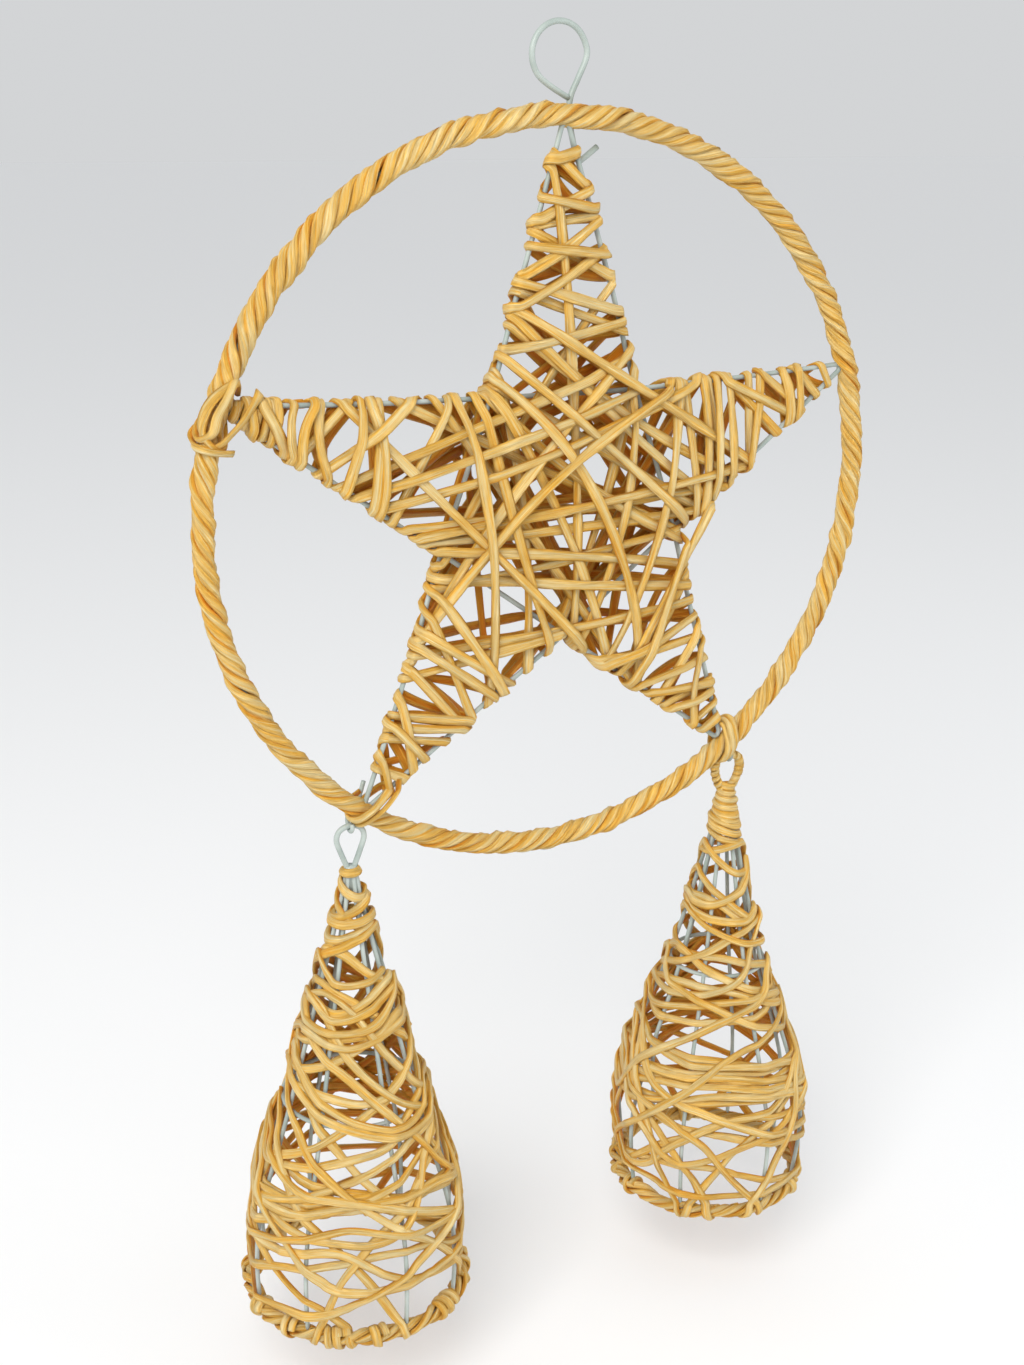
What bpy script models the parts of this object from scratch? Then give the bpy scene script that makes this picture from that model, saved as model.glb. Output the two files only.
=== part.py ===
"""Hanging star ornament: a hoop and a five-pointed star of bent wire, wound all over with flattened
paper cord, with a wire ring to hang it by and two wound wire bells under its lower points.

Metres, +Z up, the star's face towards -Y. The origin is the inside top of the hanger ring, which is
where a nail carries the ornament.
"""
import bpy
import bmesh
from math import atan2, cos, pi, radians, sin, tan
from mathutils import Matrix, Vector

# --- driving dimensions ------------------------------------------------------------------------
CLEARANCE = 0.0003              # air kept between pieces that touch

HOOP_RADIUS = 0.190             # to the middle of the hoop's wire
HOOP_WIRE = 0.0016              # radius of the hoop's wire
HOOP_CORD = 0.0052              # radius over the cord wound round the hoop
HOOP_SEGMENTS = 36
HOOP_BARE_SPOTS = (167.0, 12.5)  # where the winding gapes and shows the wire, degrees
BARE_SPOT_LENGTH = 0.006

HANG_HEIGHT = 0.2312            # from the hoop's centre up to the inside top of the ring
HANGER_WIRE = 0.0015
HANGER_RING = 0.0151            # radius to the middle of the ring's wire
HANGER_SETBACK = HOOP_CORD + HANGER_WIRE + CLEARANCE    # the hanger runs down behind the hoop

STAR_WIRE = 0.0013
STAR_REACH = 0.1860             # radius at which the wire turns back at each point
STAR_BEND = 0.0022              # radius of the bend at each point
POINT_ANGLES = {"top": 90.0, "lower_right": -53.5, "left": 161.5, "right": 18.0, "lower_left": -125.5}
SIDE_BOWS = (-0.0020, 0.0005, 0.0060, -0.0030, 0.0035)  # inward bow of each side, in bending order
CROSSING = 0.382                # where along a side its neighbours cross it, and again at 1 - this
CROSSING_LIFT = 0.0019          # how far each wire steps off the plane to clear the other

STAR_MAT_EDGE = 0.0640          # from the centre to the outer edge of the winding along a side
STAR_MAT_REACH = 0.1775         # how far out along a point the winding goes
STAR_MAT_CROWN = 0.0160         # half thickness of the winding at the centre
STAR_MAT_ARM = 0.0052           # half thickness along the points
STAR_MAT_SPREAD = 0.055         # how fast the crown falls off
MAT_SPOKES = (-36.0, -18.0, -7.0, -3.0, 3.0, 7.0, 18.0)     # degrees either side of a point
MAT_RINGS = ((0.0, 1.0), (0.40, 1.0), (0.72, 0.95), (0.94, 0.75), (1.0, 0.0))  # reach, fullness
ARM_WINDOWS = ((0.100, 0.011, 35.0), (0.126, 0.010, 10.0), (0.150, 0.007, 30.0))  # radius, size, turn

BELL_NECK_Z = -0.185            # height of the bells' necks below the hoop's centre
BELL_WIRE = 0.0012
BELL_RIBS = 8
RIB_STAGGER = 4.0               # ribs stand in loose pairs, degrees off an even spacing
BELL_NECK_RADIUS = 0.0036       # of the bunch of brazed wire ends
NECK_BORE = 0.0046              # radius of the hole that the loop comes up through
BELL_LOOP_WIRE = 0.0015
BELL_LOOP_HEIGHT = 0.0236
BELL_LOOP_HALF = 0.0077
BELL_CORD = 0.0038              # thickness of the winding over the ribs
LOOP_SLEEVE = 0.0033            # radius over the cord wound on the right bell's loop
BELL_DROP = 0.253               # from the neck down to the bottom ring
BELL_STATIONS = (0.036, 0.090, 0.186, 0.218)  # drops at which ribs and skin bend
BELL_GAP = 0.0029               # from the middle of a rib out to the skin's flat facets
BELL_WINDOWS = ((0.072, 2, 0.009), (0.112, 3, 0.012), (0.160, 3, 0.016), (0.204, 3, 0.018))
# Above, each row of gaps as (drop, how many, size). Below, each bell's place, the drop of its middle
# ring, and its ribs as (drop, radius to their middle).
BELLS = {
    "left_bell": dict(x=-0.1175, middle=0.132,
                      ribs=((0.0, 0.0022), (0.030, 0.0092), (0.132, 0.0370), (0.186, 0.0520),
                            (0.218, 0.0565), (0.253, 0.0580))),
    "right_bell": dict(x=0.1170, middle=0.106,
                       ribs=((0.0, 0.0022), (0.030, 0.0062), (0.106, 0.0270), (0.169, 0.0460),
                             (0.205, 0.0535), (0.253, 0.0540))),
}

HOOK_WIRE = 0.0012
HOOK_SETBACK = HOOP_CORD + HOOK_WIRE + CLEARANCE

PAINTED_WIRE = dict(color=(0.52, 0.58, 0.53, 1.0), roughness=0.35, metallic=0.1)
PAPER_CORD = dict(color=(0.80, 0.52, 0.20, 1.0), roughness=0.55, metallic=0.0)


# --- scene, collections and materials ------------------------------------------------------------
def clear_scene():
    for item in list(bpy.data.objects):
        bpy.data.objects.remove(item, do_unlink=True)


def new_collection(name):
    collection = bpy.data.collections.new(name)
    bpy.context.scene.collection.children.link(collection)
    return collection


def new_material(name, color, roughness, metallic):
    material = bpy.data.materials.new(name)
    material.use_nodes = True
    shader = material.node_tree.nodes["Principled BSDF"]
    shader.inputs["Base Color"].default_value = color
    shader.inputs["Roughness"].default_value = roughness
    shader.inputs["Metallic"].default_value = metallic
    return material


clear_scene()
PIECES = new_collection("star_ornament")
TOOLS = new_collection("cutters")
HOOP_CENTRE = bpy.data.objects.new("hoop_centre", None)
HOOP_CENTRE.location = (0.0, -HANGER_SETBACK, -HANG_HEIGHT)
PIECES.objects.link(HOOP_CENTRE)


def finish(obj, look, tool=False):
    """Gives a piece its material and its place, or marks a cutting or joining tool."""
    for collection in list(obj.users_collection):
        collection.objects.unlink(obj)
    (TOOLS if tool else PIECES).objects.link(obj)
    obj.parent = HOOP_CENTRE
    if tool:
        obj.hide_render = True
        obj.display_type = "WIRE"
    else:
        obj.data.materials.clear()
        obj.data.materials.append(new_material(obj.name + "_finish", **look))
    return obj


def shade_round(obj, angle=50.0):
    obj.data.shade_smooth()
    obj.data.set_sharp_from_angle(angle=radians(angle))


# --- routes --------------------------------------------------------------------------------------
def smooth_route(points, steps):
    """Points along a smooth curve through the given ones, with so many steps between each pair."""
    knots = [Vector(point) for point in points]
    knots = [2 * knots[0] - knots[1]] + knots + [2 * knots[-1] - knots[-2]]
    route = []
    for before, start, end, after in zip(knots, knots[1:], knots[2:], knots[3:]):
        for step in range(steps):
            t = step / steps
            route.append(0.5 * (2 * start + (end - before) * t
                                + (2 * before - 5 * start + 4 * end - after) * t ** 2
                                + (3 * start - 3 * end + after - before) * t ** 3))
    return route + [knots[-2]]


def tube(name, route, radius, sides=8, closed=False, tool=False, look=PAINTED_WIRE):
    """A wire along a route. Its caps are welded on, so that it can be cut or joined."""
    curve = bpy.data.curves.new(name + "_route", "CURVE")
    curve.dimensions = "3D"
    curve.bevel_depth = radius
    curve.bevel_resolution = (sides - 4) // 2
    curve.use_fill_caps = True
    spline = curve.splines.new("POLY")
    spline.points.add(len(route) - 1)
    for point, place in zip(spline.points, route):
        point.co = (*place, 1.0)
    spline.use_cyclic_u = closed
    draft = bpy.data.objects.new(name + "_draft", curve)
    bpy.context.scene.collection.objects.link(draft)
    evaluated = draft.evaluated_get(bpy.context.evaluated_depsgraph_get())
    mesh = bpy.data.meshes.new_from_object(evaluated)
    bpy.data.objects.remove(draft)
    work = bmesh.new()
    work.from_mesh(mesh)
    bmesh.ops.remove_doubles(work, verts=work.verts, dist=0.00001)
    bmesh.ops.recalc_face_normals(work, faces=work.faces)
    work.to_mesh(mesh)
    work.free()
    obj = finish(bpy.data.objects.new(name, mesh), look, tool)
    shade_round(obj)
    return obj


def boolean(obj, operation, others):
    for other in others:
        step = obj.modifiers.new(operation.lower() + "_" + other.name, "BOOLEAN")
        step.operation = operation
        step.object = other


# --- hoop ----------------------------------------------------------------------------------------
def torus(name, radius, thickness, sides, look=None, tool=False):
    bpy.ops.mesh.primitive_torus_add(major_radius=radius, minor_radius=thickness,
                                     major_segments=HOOP_SEGMENTS, minor_segments=sides,
                                     rotation=(pi / 2, 0, 0))
    obj = bpy.context.object
    obj.name = name
    obj.data.transform(obj.matrix_basis.to_3x3().to_4x4())
    obj.matrix_basis = Matrix()
    obj = finish(obj, look, tool)
    shade_round(obj)
    return obj


def block(name, size, centre, turning):
    """A box-shaped cutter, turned and put in its place."""
    work = bmesh.new()
    bmesh.ops.create_cube(work, size=1.0)
    place = Matrix.Translation(centre) @ turning @ Matrix.Diagonal((*size, 1.0))
    bmesh.ops.transform(work, matrix=place, verts=work.verts)
    mesh = bpy.data.meshes.new(name)
    work.to_mesh(mesh)
    work.free()
    return finish(bpy.data.objects.new(name, mesh), None, tool=True)


def make_hoop(star_channel):
    torus("hoop_wire", HOOP_RADIUS, HOOP_WIRE, 6, look=PAINTED_WIRE)
    winding = torus("hoop_winding", HOOP_RADIUS, HOOP_CORD, 8, look=PAPER_CORD)
    bore = torus("hoop_bore", HOOP_RADIUS, HOOP_WIRE + CLEARANCE + 0.0001, 6, tool=True)
    cutters = [star_channel]
    for number, degrees in enumerate(HOOP_BARE_SPOTS):
        angle = radians(degrees)
        front = Vector((HOOP_RADIUS * cos(angle), -HOOP_CORD, HOOP_RADIUS * sin(angle)))
        size = (2.5 * HOOP_CORD, 2 * HOOP_CORD, BARE_SPOT_LENGTH)
        cutters.append(block(f"bare_spot_{number}", size, front, Matrix.Rotation(-angle, 4, "Y")))
    boolean(winding, "DIFFERENCE", cutters + [bore])


# --- hanger --------------------------------------------------------------------------------------
def make_hanger():
    """A ring bent from one wire: pinched at its foot, then down behind the hoop, its end turned up."""
    centre_z = HANG_HEIGHT + HANGER_WIRE - HANGER_RING
    arc = [(HANGER_RING * cos(radians(a)), centre_z + HANGER_RING * sin(radians(a)))
           for a in range(205, -31, -20)]
    start = [(0.0031, 0.1985), (-0.0030, 0.2020)]
    foot = [(0.0091, 0.2045), (0.0065, 0.1985), (0.0058, 0.1915), (0.0070, 0.1835),
            (0.0102, 0.1718), (0.0118, 0.1680), (0.0145, 0.1690), (0.0224, 0.1747)]
    route = [(x, HANGER_SETBACK, z) for x, z in start + arc + foot]
    tube("hanger_ring", route, HANGER_WIRE, sides=8)


# --- star ----------------------------------------------------------------------------------------
def spoke(angle, radius):
    return Vector((radius * cos(radians(angle)), 0.0, radius * sin(radians(angle))))


def star_route():
    """The wire's middle line: five bowed sides, rounded at the points, over and under each other."""
    setback = STAR_BEND / sin(radians(18.0))
    trim = STAR_BEND / tan(radians(18.0))
    tips = list(POINT_ANGLES.values())
    corners = [spoke(angle, STAR_REACH - STAR_BEND + setback) for angle in tips]
    swing = 2 * (0.5 - CROSSING)
    route = []
    for number, bow in enumerate(SIDE_BOWS):
        start = corners[number]
        end = corners[(number + 1) % 5]
        along = end - start
        length = along.length
        inward = along.normalized().cross(Vector((0, 1, 0)))
        if inward.dot(-(start + end)) < 0:
            inward.negate()
        stations = (trim / length, 0.264, CROSSING, 0.5)
        stations = stations + tuple(1 - f for f in reversed(stations[:-1]))
        for f in stations:
            off_middle = 0.5 - f
            lift = CROSSING_LIFT * sin(pi * off_middle / swing) if abs(off_middle) < swing else 0.0
            route.append(start + along * f + inward * bow * 4 * f * (1 - f) + Vector((0, lift, 0)))
        tip = tips[(number + 1) % 5]
        bend = spoke(tip, STAR_REACH - STAR_BEND)
        route.extend(bend + spoke(tip + turn, STAR_BEND) for turn in (36, 0, -36))
    return route


def mat_outline(off_point):
    """Distance from the centre to the edge of the star's winding, so far in angle from a point."""
    return min(STAR_MAT_REACH, STAR_MAT_EDGE / cos(radians(72.0 - abs(off_point))))


def make_star(route, channel):
    tube("star_frame", route, STAR_WIRE, sides=6, closed=True)
    # A ball is reshaped: its meridians become lines out to the edge, its poles the two faces.
    work = bmesh.new()
    rings = 2 * (len(MAT_RINGS) - 1)
    count = 5 * len(MAT_SPOKES)
    bmesh.ops.create_uvsphere(work, u_segments=count, v_segments=rings, radius=1.0)
    tips = sorted(POINT_ANGLES.values())
    for vert in work.verts:
        meridian = round(atan2(vert.co.y, vert.co.x) % (2 * pi) / (2 * pi) * count) % count
        point, place = divmod(meridian, len(MAT_SPOKES))
        parallel = round(rings * (0.5 - abs(0.5 - Vector((0, 0, 1)).angle(vert.co) / pi)))
        reach, fullness = MAT_RINGS[parallel]
        angle = tips[point] + MAT_SPOKES[place]
        distance = reach * mat_outline(MAT_SPOKES[place])
        crown = (STAR_MAT_CROWN - STAR_MAT_ARM) / (1 + (distance / STAR_MAT_SPREAD) ** 4)
        side = -1 if vert.co.z > 0 else 1
        vert.co = spoke(angle, distance) + Vector((0, side * fullness * (STAR_MAT_ARM + crown), 0))
    bmesh.ops.recalc_face_normals(work, faces=work.faces)
    mesh = bpy.data.meshes.new("star_winding")
    work.to_mesh(mesh)
    work.free()
    mat = finish(bpy.data.objects.new("star_winding", mesh), PAPER_CORD)
    shade_round(mat, 35.0)
    # Openings where the cords leave daylight: a few up each point, and a ring of them in the middle.
    windows = []
    through = 4 * STAR_MAT_CROWN
    for name, angle in POINT_ANGLES.items():
        for number, (radius, size, turn) in enumerate(ARM_WINDOWS):
            windows.append(block(f"{name}_window_{number}", (size, through, size * 0.8),
                                 spoke(angle, radius), Matrix.Rotation(radians(turn - angle), 4, "Y")))
        windows.append(block(f"{name}_middle_window", (0.010, through, 0.007),
                             spoke(angle + 36.0, 0.034), Matrix.Rotation(radians(20.0 - angle), 4, "Y")))
    boolean(mat, "DIFFERENCE", [channel] + windows)


# --- bells ---------------------------------------------------------------------------------------
def rib_radius(bell, drop):
    """Radius to the middle of a rib so far below the neck, on a smooth curve through the profile."""
    knots = [(radius, 0.0, down) for down, radius in bell["ribs"]]
    last = knots[-1]
    curve = smooth_route(knots + [(last[0], 0.0, last[2] + 0.03)], 12)
    for high, low in zip(curve, curve[1:]):
        if high.z <= drop <= low.z:
            return high.x + (low.x - high.x) * (drop - high.z) / (low.z - high.z)
    return last[0]


def loop_route(neck):
    """A bell's loop, from inside the neck up one side, over the top and down the other."""
    half, height = BELL_LOOP_HALF, BELL_LOOP_HEIGHT
    side = [(0.0014, -0.004), (0.0022, 0.002), (0.61 * half, 0.45 * height), (half, 0.72 * height),
            (0.72 * half, 0.925 * height)]
    points = [(-x, z) for x, z in side] + [(0.0, height)] + [(x, z) for x, z in reversed(side)]
    return [neck + Vector((x, 0, z)) for x, z in points]


def ring(name, centre, radius, segments):
    turns = [2 * pi * i / segments for i in range(segments)]
    route = [centre + Vector((radius * cos(turn), radius * sin(turn), 0)) for turn in turns]
    return tube(name, route, BELL_WIRE, sides=6, closed=True, tool=True)


def make_bell_frame(name, bell, neck):
    """Loop, ribs and two rings, brazed into one piece at a short bunch of wire at the neck."""
    bpy.ops.mesh.primitive_cylinder_add(vertices=10, radius=BELL_NECK_RADIUS, depth=0.010)
    frame = bpy.context.object
    frame.name = name + "_frame"
    frame.data.transform(Matrix.Translation(neck - Vector((0, 0, 0.004))))
    frame.matrix_basis = Matrix()
    finish(frame, PAINTED_WIRE)
    shade_round(frame)
    wires = [tube(name + "_loop", loop_route(neck), BELL_LOOP_WIRE, sides=6, tool=True)]
    for number in range(BELL_RIBS):
        drops = (0.0025 + 0.0005 * number,) + BELL_STATIONS + (BELL_DROP,)
        angle = radians(number * 360 / BELL_RIBS + RIB_STAGGER * (-1) ** number)
        outward = Vector((cos(angle), sin(angle), 0))
        route = [neck + outward * rib_radius(bell, drop) - Vector((0, 0, drop)) for drop in drops]
        wires.append(tube(f"{name}_rib_{number}", route, BELL_WIRE, sides=6, tool=True))
    for label, drop, segments in (("middle_ring", bell["middle"], 12), ("bottom_ring", BELL_DROP, 16)):
        centre = neck - Vector((0, 0, drop))
        wires.append(ring(f"{name}_{label}", centre, rib_radius(bell, drop), segments))
    boolean(frame, "UNION", wires)


def turned(name, profile, steps, place):
    """A body turned about the vertical through a place, from a closed profile."""
    work = bmesh.new()
    verts = [work.verts.new((radius, 0, z)) for radius, z in profile]
    for first, second in zip(verts, verts[1:] + verts[:1]):
        work.edges.new((first, second))
    mesh = bpy.data.meshes.new(name)
    work.to_mesh(mesh)
    work.free()
    obj = finish(bpy.data.objects.new(name, mesh), PAPER_CORD)
    obj.location = place
    screw = obj.modifiers.new("turn", "SCREW")
    screw.steps = steps
    screw.render_steps = steps
    screw.use_merge_vertices = True
    screw.merge_threshold = 0.00001
    return obj


def bell_windows(name, bell, neck):
    """Staggered rows of openings between the cords, growing towards the rim."""
    windows = []
    for row, (drop, count, size) in enumerate(BELL_WINDOWS):
        for number in range(count):
            around = 2 * pi * (number + 0.37 * row) / count
            reach = rib_radius(bell, drop) + BELL_WIRE + BELL_CORD / 2
            centre = neck + Vector((reach * cos(around), reach * sin(around), -drop))
            turning = Matrix.Rotation(around, 4, "Z") @ Matrix.Rotation(radians(40.0), 4, "X")
            windows.append(block(f"{name}_window_{row}_{number}", (3.2 * BELL_CORD, size, 0.8 * size),
                                 centre, turning))
    return windows


def make_bell_winding(name, bell, neck, top):
    """The wound skin: a neck of the given outline, open below, turned under at the rim."""
    rim = rib_radius(bell, BELL_DROP) + BELL_GAP
    under = -BELL_DROP - BELL_WIRE - CLEARANCE
    outer = list(top) + [(rib_radius(bell, d) + BELL_GAP + BELL_CORD, -d) for d in BELL_STATIONS]
    lip = [(rim + BELL_CORD, -BELL_DROP + 0.001), (rim + 0.0008, under - BELL_CORD),
           (rim - 0.0048, under - BELL_CORD + 0.0004), (rim - 0.0048, under), (rim, under)]
    inner = [(rib_radius(bell, d) + BELL_GAP, -d) for d in reversed((0.008,) + BELL_STATIONS)]
    return turned(name + "_winding", outer + lip + inner + [(NECK_BORE, top[0][1])], 16, neck)


def make_left_bell(bell, neck):
    """Its loop is bare wire above a collar of cord."""
    top = ((0.0058, 0.0), (0.0060, -0.008), (0.0100, -0.016))
    winding = make_bell_winding("left_bell", bell, neck, top)
    boolean(winding, "DIFFERENCE", bell_windows("left_bell", bell, neck))


def make_right_bell(bell, neck):
    """Its neck is wound in a thickening coil, and the cord goes on up both sides of the loop."""
    top = ((0.0062, 0.003), (0.0088, -0.006), (0.0113, -0.013), (0.0145, -0.025))
    winding = make_bell_winding("right_bell", bell, neck, top)
    sleeves = []
    bores = []
    loop = loop_route(neck)
    for number, side in enumerate((loop, loop[::-1])):
        wound = side[1:4]
        sleeves.append(tube(f"right_bell_sleeve_{number}", wound, LOOP_SLEEVE, tool=True))
        bores.append(tube(f"right_bell_bore_{number}", [side[0]] + wound + [side[4]],
                          BELL_LOOP_WIRE + CLEARANCE + 0.0001, tool=True))
    boolean(winding, "UNION", sleeves)
    boolean(winding, "DIFFERENCE", bores + bell_windows("right_bell", bell, neck))


def make_hook(name, bell):
    """A wire tied up behind the hoop, its end standing above it, its foot bent through the loop."""
    bend = BELL_LOOP_WIRE + HOOK_WIRE + 0.0004
    eye_z = BELL_NECK_Z + BELL_LOOP_HEIGHT
    side = -1 if bell["x"] < 0 else 1
    stem = [(0.1052, HOOK_SETBACK, -0.1425), (0.1090, HOOK_SETBACK, -0.1500),
            (0.1150, HOOK_SETBACK, -0.1560), (abs(bell["x"]) - 0.0005, 0.0047, -0.1590)]
    foot = [(abs(bell["x"]), bend * cos(radians(a)), eye_z + bend * sin(radians(a)))
            for a in range(0, -211, -42)]
    route = [(side * x, y, z) for x, y, z in stem + foot]
    tube(name, route, HOOK_WIRE, sides=6)


def make_bells():
    for name, bell in BELLS.items():
        neck = Vector((bell["x"], 0, BELL_NECK_Z))
        make_bell_frame(name, bell, neck)
        make_hook(name + "_hook", bell)
        make_winding = make_left_bell if name == "left_bell" else make_right_bell
        make_winding(bell, neck)


STAR_ROUTE = star_route()
STAR_CHANNEL = tube("star_channel", STAR_ROUTE, STAR_WIRE + CLEARANCE + 0.0001, sides=6,
                    closed=True, tool=True)
make_hoop(STAR_CHANNEL)
make_hanger()
make_star(STAR_ROUTE, STAR_CHANNEL)
make_bells()
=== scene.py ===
# %% [markdown]
# # A hanging star ornament
# A hoop, a five-pointed star and two bells, all bent from painted wire and
# wound with flat twisted cord. Each piece below is built in the same frame
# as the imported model: metres, Z up, the nail at the origin.

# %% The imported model
import math
import bpy
import bmesh
import numpy as np
from mathutils import Matrix, Vector


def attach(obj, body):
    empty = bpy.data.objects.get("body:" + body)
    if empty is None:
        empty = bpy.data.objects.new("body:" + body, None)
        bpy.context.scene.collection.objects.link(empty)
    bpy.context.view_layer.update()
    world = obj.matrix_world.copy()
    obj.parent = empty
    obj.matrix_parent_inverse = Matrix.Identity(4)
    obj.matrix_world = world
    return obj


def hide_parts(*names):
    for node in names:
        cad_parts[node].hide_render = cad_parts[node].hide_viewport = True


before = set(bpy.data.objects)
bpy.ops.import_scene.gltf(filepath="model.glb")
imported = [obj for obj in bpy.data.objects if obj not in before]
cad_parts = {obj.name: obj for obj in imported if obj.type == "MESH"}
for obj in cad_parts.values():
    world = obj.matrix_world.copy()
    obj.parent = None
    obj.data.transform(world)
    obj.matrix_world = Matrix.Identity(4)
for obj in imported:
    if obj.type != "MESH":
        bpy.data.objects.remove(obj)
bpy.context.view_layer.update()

# %% [markdown]
# ## The camera
# The ornament is looked at from its left and a little from above. The three
# axes of the camera are written out, so that the small roll is kept too.

# %% Camera
sight = Vector((0.44281, 0.83771, -0.31964)).normalized()
rightward = Vector((0.88638, -0.46272, 0.01524)).normalized()
upward = rightward.cross(sight).normalized()
lens = bpy.data.cameras.new("camera")
lens.sensor_fit = 'VERTICAL'
lens.sensor_height = 36.0
lens.lens = 47.28
camera = bpy.data.objects.new("camera", lens)
camera.matrix_world = Matrix.Translation((-0.4439, -0.8012, -0.0248)) @ \
    Matrix((rightward, upward, -sight)).transposed().to_4x4()
bpy.context.collection.objects.link(camera)
bpy.context.scene.camera = camera
print("the camera looks along", tuple(round(c, 3) for c in sight))

# %% [markdown]
# ## Making finishes
# A finish is a small net of nodes round one shader. It could be wired up in
# the shader editor, but then every number hides in a panel. The class below
# holds the few steps that all the finishes share, so that each of them can
# be read further on as a short list.

# %% A finish and its nodes
class Finish:
    """A new material, and short ways to fill its sockets and add nodes to it."""
    def __init__(self, name, values):
        self.made = bpy.data.materials.new(name)
        self.made.use_nodes = True
        self.shader = self.fill(self.made.node_tree.nodes["Principled BSDF"], values)

    def fill(self, node, values):
        """Sets each socket to a plain value, or joins another node's output to it."""
        for socket, value in values.items():
            if isinstance(value, bpy.types.NodeSocket):
                self.made.node_tree.links.new(value, node.inputs[socket])
            else:
                node.inputs[socket].default_value = value
        return node

    def node(self, kind, values=None, **settings):
        added = self.made.node_tree.nodes.new("ShaderNode" + kind)
        for key, value in settings.items():
            setattr(added, key, value)
        return self.fill(added, values or {})

    def maths(self, operation, *values):
        return self.node("Math", dict(enumerate(values)), operation=operation).outputs[0]

    def noise(self, place, scale, detail, roughness=0.5):
        values = {"Vector": place, "Scale": scale, "Detail": detail, "Roughness": roughness}
        return self.node("TexNoise", values).outputs["Fac"]

    def ramp(self, blend, *stops):
        """Turns a value into a colour; the stops are the first, the last and those between."""
        added = self.node("ValToRGB", {0: blend})
        for n, (position, colour) in enumerate(stops):
            colours = added.color_ramp.elements
            stop = colours[n] if n < 2 else colours.new(position)
            stop.position, stop.color = position, (*colour, 1.0)
        return added.outputs[0]

    def coat(self, colour, roughness, height, strength, distance):
        """Gives the surface a varied colour and gloss and a fine relief."""
        relief = self.node("Bump", {"Strength": strength, "Distance": distance, "Height": height})
        self.fill(self.shader, {"Base Color": colour, "Roughness": roughness, "Normal": relief.outputs[0]})
        print(f"{self.made.name}: {len(self.made.node_tree.nodes)} nodes")
        return self.made

# %% [markdown]
# ## The floor
# The ornament hangs clear of everything, so its stage is only a pale floor
# well under the bells. One large grid of four by four faces is enough. It
# glows a little, so that it stays as bright as the sky behind it.

# %% Floor
FLOOR_HEIGHT = -0.72
PALE = (0.76, 0.765, 0.77, 1.0)
bm = bmesh.new()
bmesh.ops.create_grid(bm, x_segments=4, y_segments=4, size=14.0)
bmesh.ops.translate(bm, verts=bm.verts, vec=(0.0, 0.0, FLOOR_HEIGHT))
floor_mesh = bpy.data.meshes.new("floor")
bm.to_mesh(floor_mesh)
bm.free()
floor = bpy.data.objects.new("floor", floor_mesh)
floor_mesh.materials.append(Finish("pale_floor", {
    "Base Color": PALE, "Roughness": 0.9, "Emission Color": PALE, "Emission Strength": 0.185}).made)
bpy.context.collection.objects.link(floor)
print("the floor lies", FLOOR_HEIGHT, "m below the nail")

# %% [markdown]
# ## The light
# Daylight from a large window is soft and comes from one side. One broad
# square lamp at the upper left stands in for it, a weak one at the right
# opens the shade, and a pale sky fills the rest. A sun lamp would be
# simpler, but its hard shadows would break up the thin cords.

# %% Light
def soft_lamp(name, place, aim, size, watts, colour):
    """A square area lamp turned towards a point."""
    data = bpy.data.lights.new(name, 'AREA')
    data.size, data.energy, data.color = size, watts, colour
    lamp = bpy.data.objects.new(name, data)
    way = Vector(aim) - Vector(place)
    lamp.matrix_world = Matrix.Translation(place) @ way.to_track_quat('-Z', 'Y').to_matrix().to_4x4()
    bpy.context.collection.objects.link(lamp)

soft_lamp("window", (-1.5, -1.5, 1.3), (0.0, 0.0, -0.35), 1.6, 61.0, (1.0, 0.98, 0.95))
soft_lamp("fill", (1.8, -1.2, 0.3), (0.0, 0.0, -0.35), 1.8, 12.0, (0.95, 0.97, 1.0))
sky = bpy.data.worlds.new("pale_sky")
sky.use_nodes = True
sky.node_tree.nodes["Background"].inputs["Color"].default_value = (0.93, 0.945, 0.96, 1.0)
sky.node_tree.nodes["Background"].inputs["Strength"].default_value = 0.70
bpy.context.scene.world = sky
bpy.context.scene.view_settings.view_transform = 'Standard'

# %% [markdown]
# ## Cord and wire finishes
# The cord is twisted honey-coloured paper, sold as a stand-in for cane. Its
# surface is a bundle of soft folds that run along it. Every cord below has a
# UV map whose U is its length in metres and whose V goes once round it, so
# the folds are noise stretched along U. V is turned into a circle first,
# which hides the seam where it starts again. Light and shade are painted on
# each cord: the side that faces out is painted paler, a painted highlight,
# and the side that faces into the pile deeper, a painted shade. An attribute
# called "outward" tells which side is which.

# %% Cord finish
# The pale end of the ramp is the cord's paler honey and also its painted highlight; the deep end is its deeper
# honey and also its painted shade.
DEEP_HONEY_AND_SHADE, HONEY, PALE_HONEY_AND_HIGHLIGHT = (0.86, 0.245, 0.004), (0.99, 0.55, 0.066), (0.99, 0.80, 0.40)

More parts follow.
